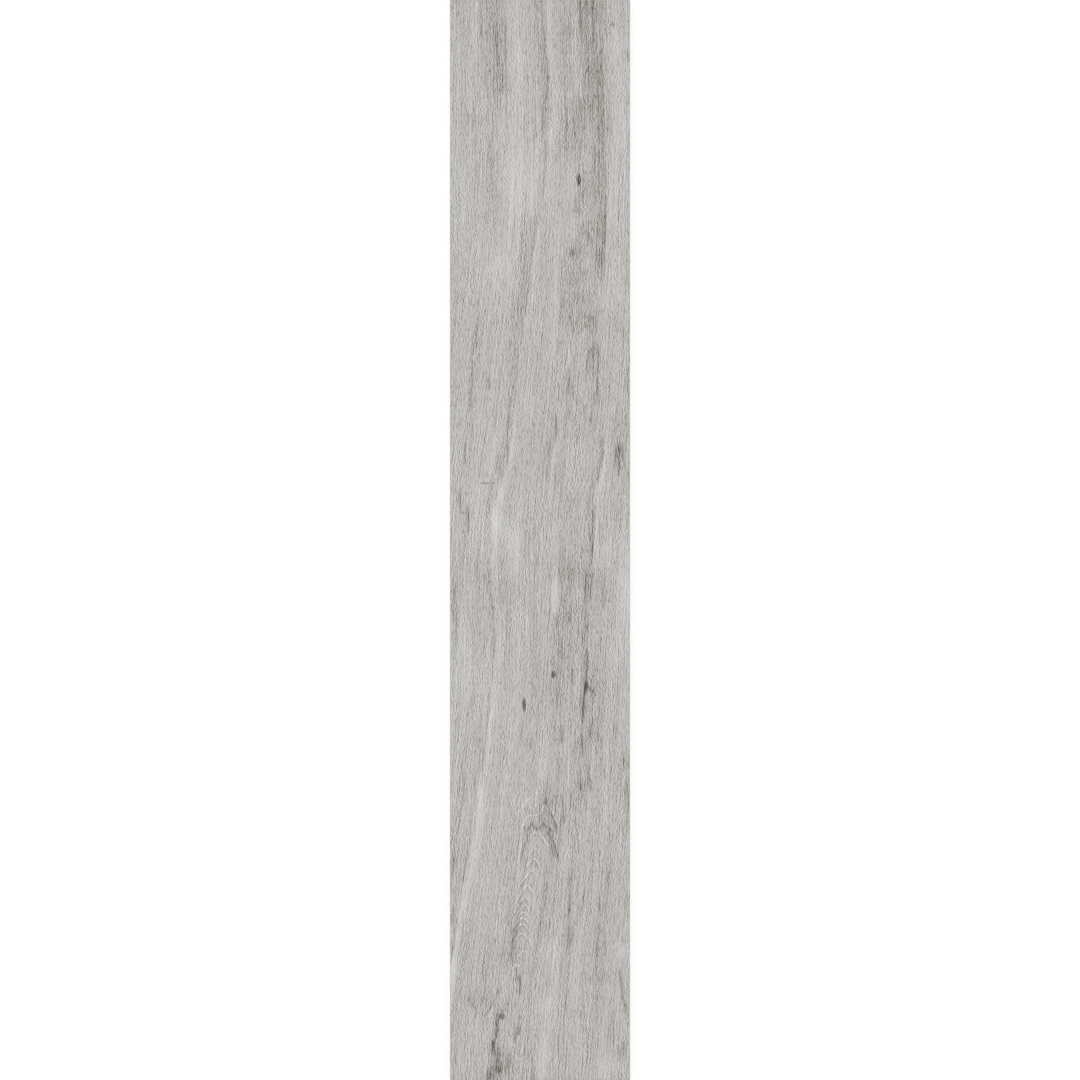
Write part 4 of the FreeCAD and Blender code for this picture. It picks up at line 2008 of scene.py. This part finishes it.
    def _add_back(self, parts: MeshParts, back: tuple[np.ndarray, list[tuple[int, ...]]],
                  foot: list[np.ndarray]) -> None:
        """Add the waffle pattern and the plain band round it.

        Args:
            parts: the tile so far.
            back: vertices and facets of the pattern.
            foot: the four sides of the tile's outline.
        """
        places, facets = back
        numbers = parts.add_points(places)
        for facet in facets:
            parts.add_facet(numbers[list(facet)], Region.BACK)
        spots = np.concatenate(parts.points)
        for (axis, sign, order), outer in zip(self.BACK_SIDES, foot):
            limit = sign * np.max(sign * places[:, axis])
            on_side = np.flatnonzero(np.abs(places[:, axis] - limit) < self.TOUCHING)
            along = places[on_side, 1 - axis] * order
            inner = numbers[on_side[np.argsort(along)]]
            parts.stitch(inner, outer, spots, Region.BACK)

    def _finished(self, parts: MeshParts, figure: dict[Field, np.ndarray],
                  materials: dict[Region, bpy.types.Material]) -> bpy.types.Object:
        """Turn the parts into the tile's object.

        Args:
            parts: the whole tile.
            figure: what the face's vertices, which come first, carry for the print.
            materials: the finish of each region.

        Returns:
            The object.
        """
        spots = np.concatenate(parts.points)
        mesh = bpy.data.meshes.new("wood_look_plank")
        mesh.from_pydata(spots.tolist(), [], parts.facets)
        for region in Region:
            mesh.materials.append(materials[region])
        regions = np.array(parts.regions, dtype=np.int32)
        mesh.polygons.foreach_set("material_index", regions)
        mesh.polygons.foreach_set("use_smooth", regions == Region.FACE)
        for field, values in figure.items():
            store(mesh, field, np.concatenate([values, np.zeros((len(spots) - len(values), 3))]))
        mesh.update()
        self._lay_out(mesh)
        tile = bpy.data.objects.new("wood_look_plank", mesh)
        bpy.context.scene.collection.objects.link(tile)
        return tile

    def _lay_out(self, mesh: bpy.types.Mesh) -> None:
        """Lay the mesh out flat for baking: the face, the back, then the edges as strips.

        Args:
            mesh: the tile's mesh.
        """
        numbers = np.zeros(len(mesh.loops), dtype=np.int32)
        mesh.loops.foreach_get("vertex_index", numbers)
        sizes, regions = (np.zeros(len(mesh.polygons), dtype=np.int32) for _ in range(2))
        mesh.polygons.foreach_get("loop_total", sizes)
        mesh.polygons.foreach_get("material_index", regions)
        centres = np.zeros(3 * len(mesh.polygons))
        mesh.polygons.foreach_get("center", centres)
        centres = np.repeat(centres.reshape(-1, 3), sizes, axis=0)
        regions = np.repeat(regions, sizes)

        low, high = np.array(self.low), np.array(self.high)
        places = places_of(mesh)[numbers]
        share = (places - low) / (high - low)
        inward = np.minimum(places - low, high - places)[:, :2]
        rim = high[2] - self.bevel
        from_edge = high - np.abs(centres)
        on_long = from_edge[:, 0] < from_edge[:, 1]
        up_bevel = math.sqrt(2) * np.where(on_long, inward[:, 0], inward[:, 1])
        rise = (np.minimum(places[:, 2], rim) + up_bevel) / (rim + math.sqrt(2) * self.bevel)
        second = np.where(on_long, centres[:, 0], centres[:, 1]) > 0

        long_strip = self.LONG_EDGES + self.LONG_EDGE_PITCH * second + self.LONG_EDGE_WIDTH * rise
        short_strip = self.SHORT_EDGES + self.SHORT_EDGE_WIDTH * rise
        length = self.MARGIN + self.WHOLE * share[:, 1]
        width = self.MARGIN + self.SHORT_EDGE_PITCH * second + self.SHORT_EDGE_LENGTH * share[:, 0]
        face = self.MARGIN + self.FACE_WIDTH * share[:, 0]
        back = self.BACK_END - self.BACK_WIDTH * share[:, 0]
        across = [face, np.where(on_long, long_strip, short_strip), back]
        along = [length, np.where(on_long, length, width), length]
        layout = np.stack([np.choose(regions, across), np.choose(regions, along)], axis=-1)
        mesh.uv_layers.new(name="OFBake").data.foreach_set("uv", layout.astype(np.float32).ravel())


def store(mesh: bpy.types.Mesh, field: Field, values: np.ndarray) -> None:
    """Let a mesh carry one vector for each vertex."""
    carried = mesh.attributes.new(field.value, "FLOAT_VECTOR", "POINT")
    carried.data.foreach_set("vector", values.astype(np.float32).ravel())


def places_of(mesh: bpy.types.Mesh) -> np.ndarray:
    """Places of a mesh's vertices.

    Args:
        mesh: the mesh.

    Returns:
        One row for each vertex.
    """
    flat = np.zeros(3 * len(mesh.vertices))
    mesh.vertices.foreach_get("co", flat)
    return flat.reshape(-1, 3)


# The studio

@dataclass
class Studio:
    """Camera straight above the face, soft light and a white floor."""

    low: Vector
    high: Vector
    lens: float = 100.0             # millimetres, as on the camera
    sensor: float = 36.0            # millimetres
    trim: float = 0.6 * MM          # what the picture's upper and lower edges cut off the tile
    sky: float = 0.62               # light from all round, where 1 shows a colour as written
    floor_side: float = 30.0
    floor_drop: float = 0.2 * MM    # keeps the floor clear of the ribs that stand on it
    floor_grey: float = 0.8         # as the tile's shadow falls on it
    floor_glow: float = 1.1         # as it is seen
    floor_glow_share: float = 0.75

    def build(self) -> None:
        """Make everything round the tile."""
        self._camera()
        self._floor()
        self._sky()
        self._lamp("overhead_softbox", (-0.9, 0.5, 3.2), 2.4, 36.0)
        self._lamp("side_softbox", (2.2, -0.8, 2.2), 1.6, 10.0)
        bpy.context.scene.view_settings.view_transform = "Standard"

    def _camera(self) -> None:
        """Put the camera where the tile's length just fills the picture's height."""
        length = self.high.y - self.low.y - 2 * self.trim
        camera = bpy.data.cameras.new("camera")
        camera.lens = self.lens
        camera.sensor_width = self.sensor
        holder = bpy.data.objects.new("camera", camera)
        middle = (self.low + self.high) / 2
        holder.location = (middle.x, middle.y, self.high.z + length * self.lens / self.sensor)
        bpy.context.scene.collection.objects.link(holder)
        bpy.context.scene.camera = holder

    def _floor(self) -> None:
        """Lay the white floor, which still takes the tile's shadow."""
        half = self.floor_side / 2
        level = self.low.z - self.floor_drop
        ways = ((-1, -1), (1, -1), (1, 1), (-1, 1))
        corners = [(half * x, half * y, level) for x, y in ways]
        mesh = bpy.data.meshes.new("floor")
        mesh.from_pydata(corners, [], [(0, 1, 2, 3)])
        material = bpy.data.materials.new("white_floor")
        material.use_nodes = True
        sheet = NodeSheet(material.node_tree)
        white, grey = ((shade, shade, shade, 1.0) for shade in (1.0, self.floor_grey))
        lit = sheet.add("ShaderNodeBsdfDiffuse", None, {"Color": grey})
        shown = sheet.add("ShaderNodeEmission", None, {"Color": white, "Strength": self.floor_glow})
        share = self._seen(sheet) * self.floor_glow_share
        mixed = sheet.add("ShaderNodeMixShader", None, {0: share, 1: lit, 2: shown})
        sheet.add("ShaderNodeOutputMaterial", None, {"Surface": mixed})
        mesh.materials.append(material)
        floor = bpy.data.objects.new("floor", mesh)
        bpy.context.scene.collection.objects.link(floor)

    def _sky(self) -> None:
        """Light from all round, white where it is seen."""
        world = bpy.data.worlds.new("studio")
        world.use_nodes = True
        bpy.context.scene.world = world
        sheet = NodeSheet(world.node_tree)
        strength = self.sky + self._seen(sheet) * (1 - self.sky)
        sky = sheet.add("ShaderNodeBackground", None, {"Color": (1, 1, 1, 1), "Strength": strength})
        sheet.add("ShaderNodeOutputWorld", None, {"Surface": sky})

    @staticmethod
    def _seen(sheet: NodeSheet) -> Signal:
        """Where a surface is seen directly, in a reflection or through glass.

        Args:
            sheet: the nodes to add to.

        Returns:
            1 where it is seen, and otherwise 0.
        """
        rays = sheet.add("ShaderNodeLightPath").socket.node
        kinds = [Signal(sheet, rays.outputs[name])
                 for name in ("Is Camera Ray", "Is Glossy Ray", "Is Transmission Ray")]
        return (kinds[0] + kinds[1] + kinds[2]).held(0.0, 1.0)

    def _lamp(self, name: str, place: tuple[float, float, float], side: float, power: float) -> None:
        """Add a square soft lamp that points at the tile.

        Args:
            name: the lamp's name.
            place: where it hangs, in metres.
            side: the length of its sides.
            power: its power in watts.
        """
        lamp = bpy.data.lights.new(name, "AREA")
        lamp.size = side
        lamp.energy = power
        holder = bpy.data.objects.new(name, lamp)
        holder.location = place
        holder.rotation_euler = (-Vector(place)).to_track_quat("-Z", "Y").to_euler()
        holder.visible_camera = False
        bpy.context.scene.collection.objects.link(holder)


def main() -> None:
    """Build the tile and its studio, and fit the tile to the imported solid."""
    logging.basicConfig(level=logging.INFO, format="%(name)s: %(message)s")
    low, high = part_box("plank_tile")
    materials = {
        Region.FACE: PrintedGlaze(low, high, Fibres()).dressed(),
        Region.EDGE: GroundEdge(high).dressed(),
        Region.BACK: PressedBack(low).dressed(),
    }
    tile = PlankTile(low, high).build(materials)
    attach(tile, "root")
    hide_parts("plank_tile")
    triangles = sum(len(facet.vertices) - 2 for facet in tile.data.polygons)
    LOG.info("%s: %d triangles", tile.name, triangles)
    Studio(low, high).build()
    LOG.info("studio: camera, floor and lamps")


if __name__ == "__main__":
    main()
